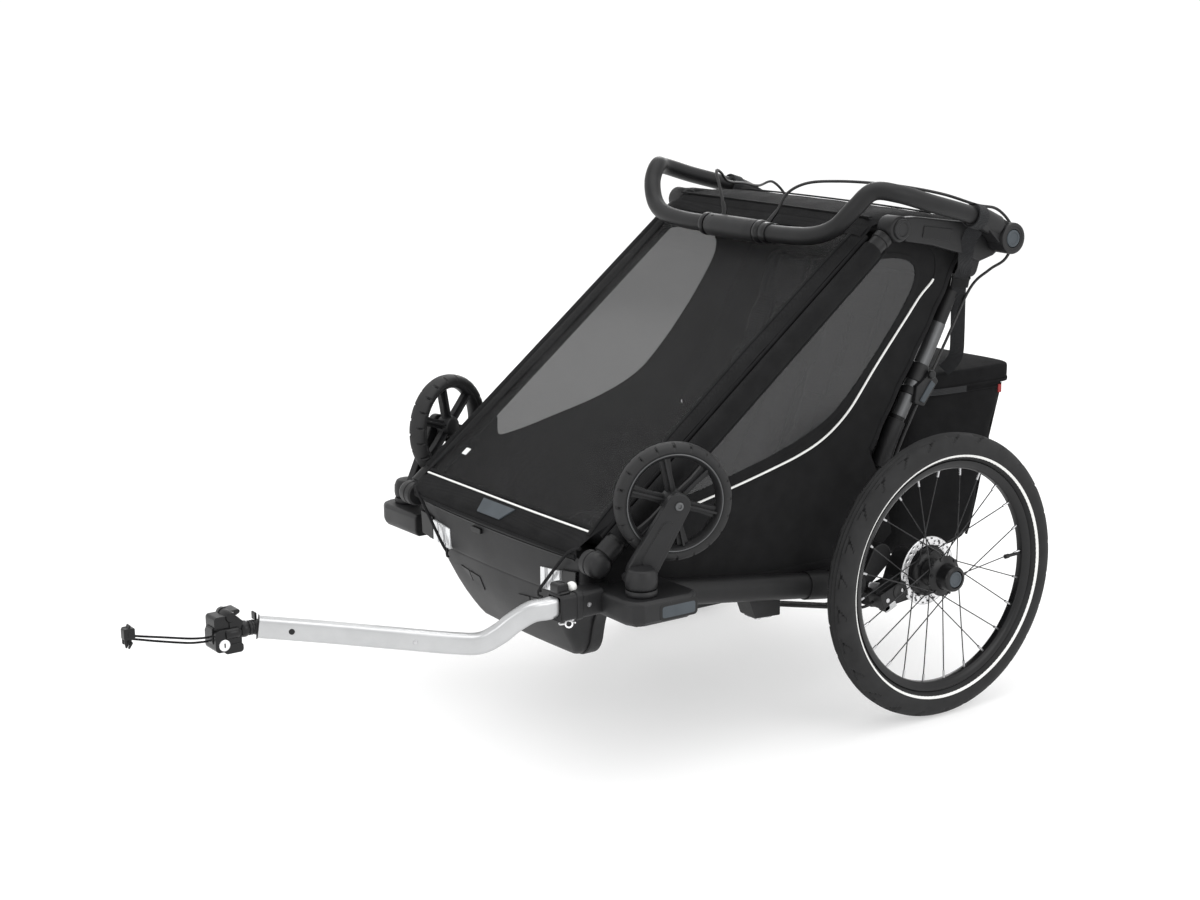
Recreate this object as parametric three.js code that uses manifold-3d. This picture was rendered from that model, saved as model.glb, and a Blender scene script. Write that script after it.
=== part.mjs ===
// Child bicycle trailer, millimetres, +Z up, +X to the trailer's left, -Y forwards.
// Everything is drawn from the ground point under the middle of the wheel axle, then the whole
// group is shifted along Y so that the origin is the middle of the footprint.
import * as THREE from 'three';
import { ConvexGeometry } from 'three/addons/geometries/ConvexGeometry.js';
import { mergeVertices } from 'three/addons/utils/BufferGeometryUtils.js';
import Module from 'manifold-3d';

const wasm = await Module();
wasm.setup();

// ---------------------------------------------------------------- driving dimensions
const GAP = 0.3;                 // clearance between pieces that touch
const TURN_GAP = 0.5;            // clearance round a piece that turns or slides

const WHEEL_R = 245;             // 20 inch wheel over its tyre
const TYRE_R = 23.3;             // radius of the tyre's section
const WHEEL_X = 364.8;           // middle plane of each wheel
const HUB_END_X = 400;           // outer face of each hub, half the overall width
const RIM_R = 184.8;             // inside of the rim
const SPOKES = 24;
const ROTOR = { x: 330, r: 59.5, inner: 44.3, thick: 2 };
const STUB_R = 7;                // stub axle

const FOLD = { y: -652, z: 357 };         // pivot of the cabin frame, low at the front
const BROW = { y: -55, z: 829 };          // top of the front tubes
const HANDLE = { y: 165, z: 800 };        // pivot of the handlebar, top rear
const STRUT_TOP = { y: 150, z: 742 };     // pivot of the rear struts
const CROSS = { y: -79, z: 276, r: 15 };  // lower cross tube
const FRONT_TUBE = { x: 283, r: 15 };
const STRUT = { x: 236, r: 13 };
const SIDE_TUBE = { x: 290, r: 21.5, front: -530, rear: -125, z: 245, slope: -0.139 };
const SPRING = { y: -281, z: 219 };       // where the leaf springs leave their clamps

const SHEET = 3;                 // thickness of the fabric panels
const COVER_OFFSET = 22;         // underside of the front cover above the front tubes' line
const COVER_HALF = 260;
const PANEL_X = 257;             // inner face of the side panels
const FLOOR_HALF = 222;
const SEAT_HALF = 212;

const BRACKET = { low: 281, high: 321, inner: 261, outer: 395, front: -660, rear: -531 };
// A caster, from its stem: the wheel sits inboard of the stem and trails behind it.
const CASTER = { x: 356, y: -618.5, inset: 42.5, trail: 63, axleZ: 452.3, r: 93.4, half: 17 };
const CASTER_TURN = -20 * Math.PI / 180;  // how far the left caster is swivelled
const BAR_R = 15;                // handlebar tube
const GRIP_HALF = 66;
const CROSSBAR = { y: -160, z: 811 };     // middle of the handlebar, under the grip
const ARM = { x: 290, z: 306, high: 31, wide: 25, edge: 10 };
const SOCKET = { front: -733, half: 21, pinY: -702 };
const CUP = { x: 107, y: -1190, z: 306 };
const BALL_R = 13;
const BALL_Y = CUP.y + 27;
const BAG = { half: 190, top: 541, low: 222, front: 78, rear: 328 };

const FRONT_Y = CUP.y - 27;      // foremost face of the coupler
const REAR_Y = BAG.rear + 4;     // rear edge of the cargo bag's lid
const ORIGIN_Y = (FRONT_Y + REAR_Y) / 2;

// ---------------------------------------------------------------- materials
const finish = (color, roughness, metalness) => ({ color, roughness, metalness });
const BLACK_PAINT = finish(0x1b1b1c, 0.55, 0.2);
const BLACK_PLASTIC = finish(0x202123, 0.6, 0);
const SLATE = finish(0x454c53, 0.55, 0);
const RUBBER = finish(0x222222, 0.85, 0);
const FABRIC = finish(0x232324, 0.95, 0);
const SEAT_FABRIC = finish(0x2c2d2f, 0.95, 0);
const SILVER = finish(0xd5d7d8, 0.35, 0.9);
const STEEL = finish(0xb9bbbd, 0.3, 1);
const CABLE = finish(0x111111, 0.7, 0);

// ---------------------------------------------------------------- geometry helpers
// Position-only copy with shared corners merged and its faces pointing out.
function closed(geometry) {
  const plain = geometry.clone();
  plain.deleteAttribute('normal');
  plain.deleteAttribute('uv');
  const merged = mergeVertices(plain, 1e-4);
  const position = merged.attributes.position;
  const corners = [0, 1, 2].map(() => new THREE.Vector3());
  const order = [];
  let volume = 0;
  for (let i = 0; i < merged.index.count; i += 3) {
    const [a, b, c] = [0, 1, 2].map((k) => merged.index.getX(i + k));
    if (a === b || b === c || c === a) continue;
    order.push(a, b, c);
    [a, b, c].forEach((v, k) => corners[k].fromBufferAttribute(position, v));
    volume += corners[0].dot(corners[1].clone().cross(corners[2]));
  }
  merged.setIndex(volume < 0 ? order.reverse() : order);
  return merged;
}

function toSolid(geometry) {
  const shell = closed(geometry);
  return new wasm.Manifold(new wasm.Mesh({
    numProp: 3,
    vertProperties: new Float32Array(shell.attributes.position.array),
    triVerts: new Uint32Array(shell.index.array),
  }));
}

function toGeometry(solid) {
  const mesh = solid.getMesh();
  const geometry = new THREE.BufferGeometry();
  geometry.setAttribute('position', new THREE.BufferAttribute(mesh.vertProperties, 3));
  geometry.setIndex(new THREE.BufferAttribute(mesh.triVerts, 1));
  return geometry;
}

const join = (...pieces) => toGeometry(pieces.map(toSolid).reduce((a, b) => a.add(b)));

function cut(body, ...tools) {
  return toGeometry(tools.map(toSolid).reduce((a, b) => a.subtract(b), toSolid(body)));
}

const mirrored = (geometry) => geometry.clone().applyMatrix4(new THREE.Matrix4().makeScale(-1, 1, 1));

// Views turn a flat drawing (first, second, depth) into the trailer's axes.
const basis = (x, y, z) => new THREE.Matrix4().makeBasis(
  new THREE.Vector3(...x), new THREE.Vector3(...y), new THREE.Vector3(...z));
const SIDE_VIEW = basis([0, 1, 0], [0, 0, 1], [1, 0, 0]);     // drawn as (y, z), deep along x
const PLAN_VIEW = basis([1, 0, 0], [0, 1, 0], [0, 0, 1]);     // drawn as (x, y), deep along z

const outline = (points) => new THREE.Shape(points.map(([a, b]) => new THREE.Vector2(a, b)));

const circle = (r) => new THREE.Shape().absarc(0, 0, r, 0, 2 * Math.PI, false);

function roundedRect(width, height, radius, a = 0, b = 0) {
  const w = width / 2 - radius;
  const h = height / 2 - radius;
  const shape = new THREE.Shape();
  shape.absarc(a + w, b - h, radius, -Math.PI / 2, 0, false);
  shape.absarc(a + w, b + h, radius, 0, Math.PI / 2, false);
  shape.absarc(a - w, b + h, radius, Math.PI / 2, Math.PI, false);
  shape.absarc(a - w, b - h, radius, Math.PI, 1.5 * Math.PI, false);
  return shape;
}

// Two discs joined by their outer tangents, the usual outline of a link or lug.
function link(first, r1, second, r2) {
  const run = second.y - first.y;
  const rise = second.z - first.z;
  const angle = Math.atan2(rise, run);
  const spread = Math.acos((r1 - r2) / Math.hypot(run, rise));
  const shape = new THREE.Shape();
  shape.absarc(first.y, first.z, r1, angle + spread, angle - spread + 2 * Math.PI, false);
  shape.absarc(second.y, second.z, r2, angle - spread, angle + spread, false);
  return shape;
}

// Strip of even thickness along a polyline drawn in a side view; it lies left of the line.
function strip(points, thickness) {
  const edges = points.map(([a, b]) => new THREE.Vector2(a, b));
  const directions = edges.slice(1).map((p, i) => p.clone().sub(edges[i]).normalize());
  const offset = edges.map((p, i) => {
    const before = directions[Math.max(i - 1, 0)];
    const after = directions[Math.min(i, directions.length - 1)];
    const normal = new THREE.Vector2(-before.y - after.y, before.x + after.x).normalize();
    const scale = thickness / normal.dot(new THREE.Vector2(-before.y, before.x));
    return p.clone().addScaledVector(normal, scale);
  });
  return new THREE.Shape([...edges, ...offset.reverse()]);
}

// Extrudes a shape between two levels of a view; bevel takes off the long edges.
function prism(shape, view, from, to, bevel = 0, curveSegments = 3) {
  return new THREE.ExtrudeGeometry(shape, {
    depth: to - from - 2 * bevel, curveSegments, bevelEnabled: bevel > 0,
    bevelThickness: bevel, bevelSize: bevel, bevelOffset: -bevel, bevelSegments: 1,
  }).translate(0, 0, from + bevel).applyMatrix4(view);
}

const box = (x0, x1, y0, y1, z0, z1) => new THREE.BoxGeometry(x1 - x0, y1 - y0, z1 - z0)
  .translate((x0 + x1) / 2, (y0 + y1) / 2, (z0 + z1) / 2);

const barX = (r, x0, x1, { y, z }, sides = 16) => new THREE.CylinderGeometry(r, r, x1 - x0, sides)
  .rotateZ(-Math.PI / 2).translate((x0 + x1) / 2, y, z);

const barZ = (r, z0, z1, x, y, sides = 16) => new THREE.CylinderGeometry(r, r, z1 - z0, sides)
  .rotateX(Math.PI / 2).translate(x, y, (z0 + z1) / 2);

function rod(a, b, r, sides = 12) {
  const start = new THREE.Vector3(...a);
  const along = new THREE.Vector3(...b).sub(start);
  const turn = new THREE.Quaternion().setFromUnitVectors(
    new THREE.Vector3(0, 1, 0), along.clone().normalize());
  return new THREE.CylinderGeometry(r, r, along.length(), sides)
    .applyQuaternion(turn).translate(...start.addScaledVector(along, 0.5).toArray());
}

// Body turned about the X axis from a profile of (x, radius) points.
function turnedX(profile, segments, x = 0, z = 0) {
  const points = profile.map(([along, radius]) => new THREE.Vector2(radius, -along));
  if (profile[0][1] > 0) points.push(points[0].clone());
  return new THREE.LatheGeometry(points, segments).rotateZ(Math.PI / 2).translate(x, 0, z);
}

function sweep(shape, points, steps, curveSegments) {
  const extrudePath = new THREE.CatmullRomCurve3(points.map((p) => new THREE.Vector3(...p)), false,
    'centripetal');
  return new THREE.ExtrudeGeometry(shape, { steps, curveSegments, extrudePath });
}

const both = (points) => [...points, ...points.map(([x, y, z]) => [-x, y, z]).reverse()];

// ---------------------------------------------------------------- assembly helpers
const trailer = new THREE.Group();
trailer.position.y = -ORIGIN_Y;

function add(name, geometry, look) {
  const shell = closed(geometry);
  shell.computeVertexNormals();
  const mesh = new THREE.Mesh(shell, new THREE.MeshStandardMaterial(look));
  mesh.name = name;
  trailer.add(mesh);
}

// Adds a piece drawn on the left, and its mirror image on the right.
function addPair(name, geometry, look) {
  add(`${name}_left`, geometry, look);
  add(`${name}_right`, mirrored(geometry), look);
}

// ---------------------------------------------------------------- main wheels
function mainWheels() {
  const middleR = WHEEL_R - TYRE_R;
  const tyre = [];
  for (let i = 0; i < 8; i += 1) {
    const a = i * Math.PI / 4;
    tyre.push([TYRE_R * Math.cos(a), middleR + TYRE_R * Math.sin(a)]);
  }
  addPair('tyre', turnedX(tyre, 36, WHEEL_X, WHEEL_R), RUBBER);

  const seatR = middleR - TYRE_R - GAP;
  addPair('rim', turnedX([[-12, seatR], [-10, seatR - 7], [-5, RIM_R], [5, RIM_R],
    [10, seatR - 7], [12, seatR]], 36, WHEEL_X, WHEEL_R), BLACK_PAINT);

  const axle = { y: 0, z: 0 };
  const flangeIn = 336;
  const flangeOut = 371;
  const holeR = 32;
  const flangeR = 34;
  const shell = turnedX([[326, 0], [326, 44], [333, 44], [333, flangeR], [338, flangeR], [341, 22],
    [367, 20], [369, flangeR], [373, flangeR], [375, 23], [HUB_END_X - 2, 23], [HUB_END_X, 21],
    [HUB_END_X, 0]], 14);
  const bored = cut(shell, barX(STUB_R + TURN_GAP, 320, 390, axle, 12),
    barX(14 + 2 * TURN_GAP, HUB_END_X - 13, HUB_END_X + 5, axle, 14));
  const spokes = [];
  for (let i = 0; i < SPOKES; i += 1) {
    const lean = Math.floor(i / 2) % 2 ? 1 : -1;
    const atRim = (i + 0.25) * 2 * Math.PI / SPOKES;
    const atHub = atRim + lean * Math.PI / 3;
    const r = RIM_R - 1;
    spokes.push(rod([(i % 2 ? flangeOut : flangeIn) + 1.6 * lean, holeR * Math.cos(atHub),
      holeR * Math.sin(atHub)], [WHEEL_X, r * Math.cos(atRim), r * Math.sin(atRim)], 1.3, 3));
  }
  addPair('hub', join(bored, ...spokes).translate(0, 0, WHEEL_R), BLACK_PAINT);

  const slots = [];
  for (let i = 0; i < 12; i += 1) {
    const a = i * Math.PI / 6;
    const r = i % 2 ? 49 : 54.5;
    slots.push(barX(2, ROTOR.x - 3, ROTOR.x + 3, { y: r * Math.cos(a), z: r * Math.sin(a) }, 4));
  }
  const face = ROTOR.thick / 2;
  const ring = turnedX([[-face, ROTOR.inner], [-face, ROTOR.r], [face, ROTOR.r],
    [face, ROTOR.inner]], 30, ROTOR.x);
  addPair('brake_rotor', cut(ring, ...slots).translate(0, 0, WHEEL_R), STEEL);

  addPair('wheel_release_button', turnedX([[HUB_END_X - 9, 0], [HUB_END_X - 9, 14],
    [HUB_END_X, 14], [HUB_END_X, 0]], 14, 0, WHEEL_R), SLATE);
}

// ---------------------------------------------------------------- suspension
function suspension() {
  const axle = { y: 0, z: WHEEL_R };
  const root = SPRING.y + 1.4;
  const blade = prism(outline([[root, 216], [-150, 187], [-50, 184], [-50, 193], [-150, 194],
    [root, 222]]), SIDE_VIEW, 238, 266);
  const carrier = prism(outline([[-98, 190], [-60, 183], [18, 190], [28, 215], [22, 262], [8, 272],
    [-12, 272], [-28, 255], [-40, 224], [-96, 212]]), SIDE_VIEW, 262, 300, 2);
  addPair('suspension_arm', join(blade, carrier, barX(18, 298, 322, axle, 20),
    barX(STUB_R, 320, HUB_END_X - 16, axle)), BLACK_PLASTIC);

  const rotorGap = 2.5;
  const outerFace = ROTOR.x + 7;
  const centre = { y: 0, z: 0 };
  const block = prism(roundedRect(62, 38, 9, -82, 0), SIDE_VIEW, 300 + GAP, outerFace, 2);
  const slot = box(ROTOR.x - rotorGap, ROTOR.x + rotorGap, -64, -40, -30, 30);
  addPair('brake_caliper', cut(block, slot, barX(47, 300, outerFace + 3, centre, 24))
    .rotateX(0.36).translate(0, 0, WHEEL_R), STEEL);
}

// ---------------------------------------------------------------- lower frame
const onSideTube = (y) => [SIDE_TUBE.x, y, SIDE_TUBE.z + SIDE_TUBE.slope * (y + 194)];

function lowerFrame() {
  const { x, r, front, rear } = SIDE_TUBE;
  const tube = rod(onSideTube(front), onSideTube(rear), r, 14);
  const collar = rod(onSideTube(-236), onSideTube(-196), r + 2.5, 14);
  const clamp = prism(outline([[-344, 240], [-330, 208], [SPRING.y, 206], [SPRING.y, 240],
    [-300, 262], [-330, 268]]), SIDE_VIEW, 238, 280, 2);
  addPair('side_tube', join(tube, collar, clamp), BLACK_PAINT);

  const low = { y: rear + 14, z: 239 };
  const knuckle = prism(link(low, 12, CROSS, 22), SIDE_VIEW, x - 15, x + 11, 3);
  add('rear_axle_frame', join(barX(CROSS.r, -x, x, CROSS), knuckle, mirrored(knuckle)), BLACK_PAINT);

  const tray = prism(strip([[-540, 226], [-103, 226]], 5), SIDE_VIEW, -FLOOR_HALF, FLOOR_HALF);
  const kerb = prism(outline([[-540, 226], [-103, 226], [-103, 256], [-540, 262]]), SIDE_VIEW,
    FLOOR_HALF - 4, FLOOR_HALF);
  add('floor_pan', join(tray, kerb, mirrored(kerb)), BLACK_PLASTIC);
}

// ---------------------------------------------------------------- nose shell
// Half outlines of the bumper band and of the narrower nose under it: half width, y, z.
const BUMPER = [[253, -658, 359], [246, -656, 287]];
const NOSE = [[200, -655, 292], [198, -653, 283], [167, -636, 228], [160, -604, 185], [147, -597, 166]];
const BUMPER_REAR = -545;
const NOSE_REAR = -548;

function noseShell() {
  const wall = 4;
  const band = (rows, inset, rear, top) => {
    const points = [];
    rows.forEach(([x, y, z], i) => {
      const level = i === 0 ? top : z + inset;
      for (const side of [1, -1]) {
        points.push(new THREE.Vector3(side * (x - inset), y + inset, level));
        points.push(new THREE.Vector3(side * (x - inset), rear, level));
      }
    });
    return new ConvexGeometry(points);
  };
  const openTop = BUMPER[0][2] + 40;
  add('front_shell', cut(
    join(band(BUMPER, 0, BUMPER_REAR, BUMPER[0][2]), band(NOSE, 0, NOSE_REAR, NOSE[0][2])),
    band(BUMPER, wall, BUMPER_REAR + 40, openTop),
    band(NOSE, wall, NOSE_REAR + 40, NOSE[0][2] + 10)), BLACK_PLASTIC);
}

// ---------------------------------------------------------------- front brackets and casters
function frontBrackets() {
  const { low, high, inner, outer, front, rear } = BRACKET;
  const wing = prism(outline([[inner, front], [370, front], [outer, -642], [outer, -548],
    [378, rear], [inner, rear]]), PLAN_VIEW, low, high, 4);
  const stemHole = barZ(11 + TURN_GAP, low - 5, high + 5, CASTER.x, CASTER.y);
  const padRecess = box(outer - 10, outer + 5, -611, -541, 286.5, 311.5);
  const wingCut = cut(wing, stemHole, padRecess);

  const { half, pinY } = SOCKET;
  const clearance = 0.6;
  const sleeve = prism(roundedRect(2 * half, 2 * half, 6, ARM.x, ARM.z), basis([1, 0, 0], [0, 0, 1],
    [0, -1, 0]), -front - 2, -SOCKET.front, 1);
  const bore = box(ARM.x - ARM.wide / 2 - clearance, ARM.x + ARM.wide / 2 + clearance,
    SOCKET.front - 5, front + 5, ARM.z - ARM.high / 2 - clearance, ARM.z + ARM.high / 2 + clearance);
  const pinHole = barZ(4 + TURN_GAP, ARM.z - 40, ARM.z + 40, ARM.x, pinY);
  add('front_bracket_left', cut(join(wingCut, sleeve), bore, pinHole), BLACK_PLASTIC);
  add('front_bracket_right', mirrored(wingCut), BLACK_PLASTIC);

  addPair('bracket_button', prism(roundedRect(68, 23, 4, -576, 299), SIDE_VIEW, outer - 6, outer, 1, 1),
    SLATE);
}

function casters() {
  const { x, y, inset, trail, axleZ, r, half } = CASTER;
  const deck = BRACKET.high;
  const collarTop = deck + 9;
  addPair('caster_stem', join(barZ(11, BRACKET.low + 2, deck + 2, x, y),
    barZ(24.5, deck + GAP, collarTop, x, y, 20)), BLACK_PLASTIC);

  // The rest is drawn from the stem with the wheel's axle along X, then swivelled into place.
  const place = (geometry) => geometry.rotateZ(CASTER_TURN).translate(x, y, 0);
  const axle = { y: trail, z: axleZ };
  const armIn = -inset + half + 2;
  const armOut = armIn + 15;
  const foot = collarTop + GAP;
  const pillar = barZ(22.5, foot, axleZ - r - 4, 0, 0, 20);
  const arm = prism(link({ y: 6, z: 348 }, 18, axle, 19), SIDE_VIEW, armIn, armOut, 2);
  const bolt = barX(10, armOut - 3, armOut + 5, axle, 6);
  addPair('caster_fork', place(join(pillar, arm, bolt, barX(6, -inset - half + 2, armIn + 4, axle))),
    BLACK_PLASTIC);

  const hubBore = barX(6 + TURN_GAP, -half - 5, half + 5, { y: 0, z: 0 });
  const spokes = [];
  for (let i = 0; i < 6; i += 1) {
    spokes.push(box(-5, 5, -8, 8, 18, r - 22).rotateX(i * Math.PI / 3));
  }
  const rim = turnedX([[-11, r - 26], [-11, r - 18], [-6, r - 15.5], [6, r - 15.5], [11, r - 18],
    [11, r - 26]], 24);
  const nave = barX(20, -half + 2, half - 2, { y: 0, z: 0 });
  const wheel = cut(join(rim, nave, ...spokes), hubBore);
  addPair('caster_wheel', place(wheel.translate(-inset, trail, axleZ)), BLACK_PLASTIC);

  const tread = [[-11.5, r - 17.6], [-half, r - 10], [-half + 3, r - 3], [-half + 9, r],
    [half - 9, r], [half - 3, r - 3], [half, r - 10], [11.5, r - 17.6], [6, r - 15], [-6, r - 15]];
  addPair('caster_tyre', place(turnedX(tread, 24).translate(-inset, trail, axleZ)), RUBBER);
}

// ---------------------------------------------------------------- cabin frame that folds
const FRONT_LENGTH = Math.hypot(BROW.y - FOLD.y, BROW.z - FOLD.z);
const FRONT_DIR = [(BROW.y - FOLD.y) / FRONT_LENGTH, (BROW.z - FOLD.z) / FRONT_LENGTH];

// Point at a distance along the front tubes' line and above it, as (y, z).
const onFront = (along, above) => [FOLD.y + FRONT_DIR[0] * along - FRONT_DIR[1] * above,
  FOLD.z + FRONT_DIR[1] * along + FRONT_DIR[0] * above];

function cabinFrame() {
  const { x, r } = FRONT_TUBE;
  const end = FRONT_LENGTH - 24;
  addPair('front_tube', join(rod([x, ...onFront(0, 0)], [x, ...onFront(end, 0)], r, 14),
    barX(20, x - 20, x + 14, FOLD, 20)), BLACK_PAINT);
  add('front_cross_tube', barX(11, -x + 16, x - 16, BROW, 14), BLACK_PAINT);
  add('rear_cross_tube', barX(13, -STRUT.x - 14, STRUT.x + 14, HANDLE, 14), BLACK_PAINT);

  const plateIn = 286;
  const plateOut = 306;
  const plate = prism(outline([[-62, 849], [40, 838], [140, 822], [168, 820], [184, 805], [182, 786],
    [160, 768], [126, 760], [86, 777], [16, 797], [-44, 808]]), SIDE_VIEW, plateIn, plateOut, 3);
  const ear = prism(link(HANDLE, 20, STRUT_TOP, 15), SIDE_VIEW, STRUT.x + STRUT.r + TURN_GAP + 1,
    STRUT.x + 27);
  addPair('top_bracket', join(plate, barX(21, x - 14, plateOut, BROW, 20),
    barX(25, x - 21.5, plateOut, HANDLE, 20), ear,
    barX(6, STRUT.x - 11, STRUT.x + 20, STRUT_TOP)), BLACK_PLASTIC);

  add('roof_panel', prism(strip([[-78, 843], [-30, 847], [60, 840], [141, 826]], SHEET),
    SIDE_VIEW, -COVER_HALF, COVER_HALF), FABRIC);
  add('front_cover', prism(strip([onFront(2, 9), onFront(36, COVER_OFFSET),
    onFront(FRONT_LENGTH - 26, COVER_OFFSET)], SHEET), SIDE_VIEW, -COVER_HALF, COVER_HALF), FABRIC);
}

// ---------------------------------------------------------------- rear struts
function rearStruts() {
  const { x, r } = STRUT;
  const bottom = [x, -61, 320];
  const tube = sweep(circle(r), [[x, STRUT_TOP.y, STRUT_TOP.z], [x, 75, 603], [x, -1, 474],
    [x, -17, 440], [x, -41, 373], bottom], 14, 5);
  const nose = new THREE.CylinderGeometry(5, r - 1, 16, 10).rotateX(-Math.PI / 2 - 0.33)
    .translate(x, bottom[1] - 1.8, bottom[2] - 7);
  const eye = barX(18, x - r + 1, x + r, STRUT_TOP);
  const bore = barX(6 + TURN_GAP, x - r - 5, x + r + 5, STRUT_TOP);
  addPair('rear_strut', cut(join(tube, nose, eye), bore), BLACK_PAINT);
}

// ---------------------------------------------------------------- handlebar
function handlebar() {
  const half = both([[325, 150, 817], [326, 118, 832], [327, 62, 850], [327, -7, 869], [319, -74, 889],
    [295, -108, 893], [278, -132, 867], [249, -147, 834], [206, -156, 817], [140, -159.5, 811.5],
    [70, CROSSBAR.y, CROSSBAR.z]]);
  const bar = sweep(circle(BAR_R), half, 46, 4);
  const hubIn = 306 + TURN_GAP;
  const hubEnd = 345;
  const hub = cut(barX(26, hubIn, hubEnd, HANDLE, 20),
    barX(15 + TURN_GAP, hubEnd - 13, hubEnd + 5, HANDLE));
  const sleeve = rod([325, 88, 842], [325, 140, 826], 18.5, 12);
  const end = join(hub, sleeve);
  add('handlebar', cut(join(bar, end, mirrored(end)),
    ...[1, -1].map((side) => barX(15 + TURN_GAP, side * 332 - 0.1, side * 350, HANDLE))), BLACK_PAINT);

  addPair('handle_button', turnedX([[hubEnd - 9, 0], [hubEnd - 9, 15], [hubEnd, 15],
    [hubEnd, 0]], 14).translate(0, HANDLE.y, HANDLE.z), SLATE);

  const grip = turnedX([[-GRIP_HALF, BAR_R + TURN_GAP], [-GRIP_HALF, BAR_R + 4.5], [GRIP_HALF, BAR_R + 4.5],
    [GRIP_HALF, BAR_R + TURN_GAP]], 18);
  add('brake_grip', grip.translate(0, CROSSBAR.y, CROSSBAR.z), BLACK_PLASTIC);
}

// Brake cables: each leaves the handlebar beside the grip, goes round the handlebar's pivot and down
// the strut to its caliper. The two cross over to the pivots by different ways.
const CABLE_LEFT = [[74, -145, 826], [76, -128, 844], [82, -110, 874], [105, -85, 891],
  [155, -59, 896], [215, -35, 896], [265, -4, 891], [296, 49, 878], [299, 121, 856]];
const CABLE_RIGHT = [[-50, -143, 831], [-56, -142, 850], [-64, -143, 876], [-82, -136, 901],
  [-110, -104, 899], [-150, -57, 886], [-220, 36, 862], [-282, 121, 843]];
const CABLE_DOWN = [[299, 168, 846], [300, 200, 820], [300, 210, 790], [296, 196, 758],
  [276, 178, 738], [256, 154, 706], [252, 106, 622], [252, 30, 498], [252, -12, 420], [252, -38, 350],
  [252, -66, 312], [252, -100, 296], [254, -112, 280], [261, -113, 262], [266, -114, 228],
  [280, -120, 206], [302, -130, 197], [313, -120, 200], [313, -106.4, 204.8]];

function brakeCables() {
  const downRight = CABLE_DOWN.map(([x, y, z]) => [-x, y, z]);
  add('brake_cable_left', sweep(circle(2.5), [...CABLE_LEFT, ...CABLE_DOWN], 50, 2), CABLE);
  add('brake_cable_right', sweep(circle(2.5), [...CABLE_RIGHT, ...downRight], 50, 2), CABLE);
}

// ---------------------------------------------------------------- soft parts
function softParts() {
  const sheet = [onFront(-2, -8), [-604, 300], [-596, 280], [-140, 272], [-128, 300], [-2, 300],
    [-77, 452], [-29, 533], [25, 622], [80, 711], [112, 768], [128, 806], [60, 828],
    [-36, 833], [-38, 812], [-70, 807], onFront(FRONT_LENGTH - 40, 16), onFront(40, 16), onFront(10, 6)];
  addPair('side_panel', prism(outline(sheet), SIDE_VIEW, PANEL_X, PANEL_X + SHEET), FABRIC);

  add('seat_base', prism(outline([[-400, 232], [-110, 232], [-110, 284], [-380, 300]]), SIDE_VIEW,
    -SEAT_HALF, SEAT_HALF, 6), SEAT_FABRIC);
  add('seat_back', prism(strip([[-66, 302], [-40, 360], [20, 500], [126, 760]], 12), SIDE_VIEW,
    -SEAT_HALF, SEAT_HALF), SEAT_FABRIC);

  const { half, top, low, front, rear } = BAG;
  const wall = 4;
  const side = (inset) => outline([[front + inset, top + inset], [front - 40 + inset, low + 30],
    [front - 20, low + inset], [236, low + inset], [256 - inset, low + 16], [rear - inset, top + inset]]);
  const shell = cut(prism(side(0), SIDE_VIEW, -half, half), prism(side(wall), SIDE_VIEW,
    -half + wall, half - wall));
  add('cargo_bag', shell, FABRIC);
  add('cargo_bag_lid', prism(outline([[front, top + TURN_GAP], [rear + 4, top + TURN_GAP],
    [rear + 4, top + 7], [front, top + 9]]), SIDE_VIEW, -half - 2, half + 2, 1), FABRIC);
}

// ---------------------------------------------------------------- tow arm and coupler
function hitch() {
  const { x, z, high, wide, edge } = ARM;
  const path = [[x, -665, z], [x, -700, z], [x, -722, z], [x, -738, z], [x - 1, -748, z - 1],
    [285, -772, 304], [273, -796, 289], [262, -815, 272], [247, -840, 258], [229, -876, 260],
    [190, -966, 276], [150, -1052, 291], [109, -1139, 305]];
  const { half, pinY } = SOCKET;
  add('hitch_arm', cut(sweep(roundedRect(high, wide, edge), path, 26, 1),
    barZ(4 + TURN_GAP, z - 40, z + 40, x, pinY)), SILVER);

  const top = z + half + 1;
  add('hitch_pin', join(barZ(4, z - half - 9, top + 3, x, pinY, 12),
    new THREE.SphereGeometry(7, 14, 10).translate(x, pinY, top + 6)), STEEL);

  add('coupler_neck', join(rod([108.8, -1139.5, 305.1], [106.7, -1143.9, 305.8], 18, 16),
    rod([107.1, -1143, 305.7], [CUP.x, BALL_Y + BALL_R + GAP, CUP.z], 9, 12)), BLACK_PLASTIC);
  const ball = new THREE.SphereGeometry(BALL_R, 14, 10).translate(CUP.x, BALL_Y, CUP.z);
  add('coupler_ball', ball, STEEL);

  const block = prism(roundedRect(50, 58, 6, CUP.y, CUP.z), SIDE_VIEW, CUP.x - 18, CUP.x + 18, 2);
  const mouth = new THREE.SphereGeometry(BALL_R + 2 * TURN_GAP, 14, 10)
    .translate(CUP.x, BALL_Y, CUP.z);
  const flare = new THREE.ConeGeometry(26, 30, 16).rotateX(-Math.PI / 2)
    .translate(CUP.x, CUP.y + 34, CUP.z);
  const lever = barX(11, CUP.x - 26, CUP.x + 2, { y: CUP.y + 8, z: CUP.z + 36 }, 16);
  add('axle_cup', cut(join(block, lever), mouth, flare), BLACK_PLASTIC);
}

const STRAP = [[104, -1216.6, 300], [102, -1240, 302], [98, -1278, 311], [94, -1312, 319], [92, -1334, 323]];

function safetyStrap() {
  add('safety_strap', sweep(circle(2.5), STRAP, 12, 3), CABLE);
  add('strap_clip', prism(roundedRect(9, 30, 3, -1339.5, 324), SIDE_VIEW, 84, 99, 1, 1), BLACK_PLASTIC);
}

mainWheels();
suspension();
lowerFrame();
noseShell();
frontBrackets();
casters();
cabinFrame();
rearStruts();
handlebar();
brakeCables();
softParts();
hitch();
safetyStrap();

export default trailer;
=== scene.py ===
import math

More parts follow.
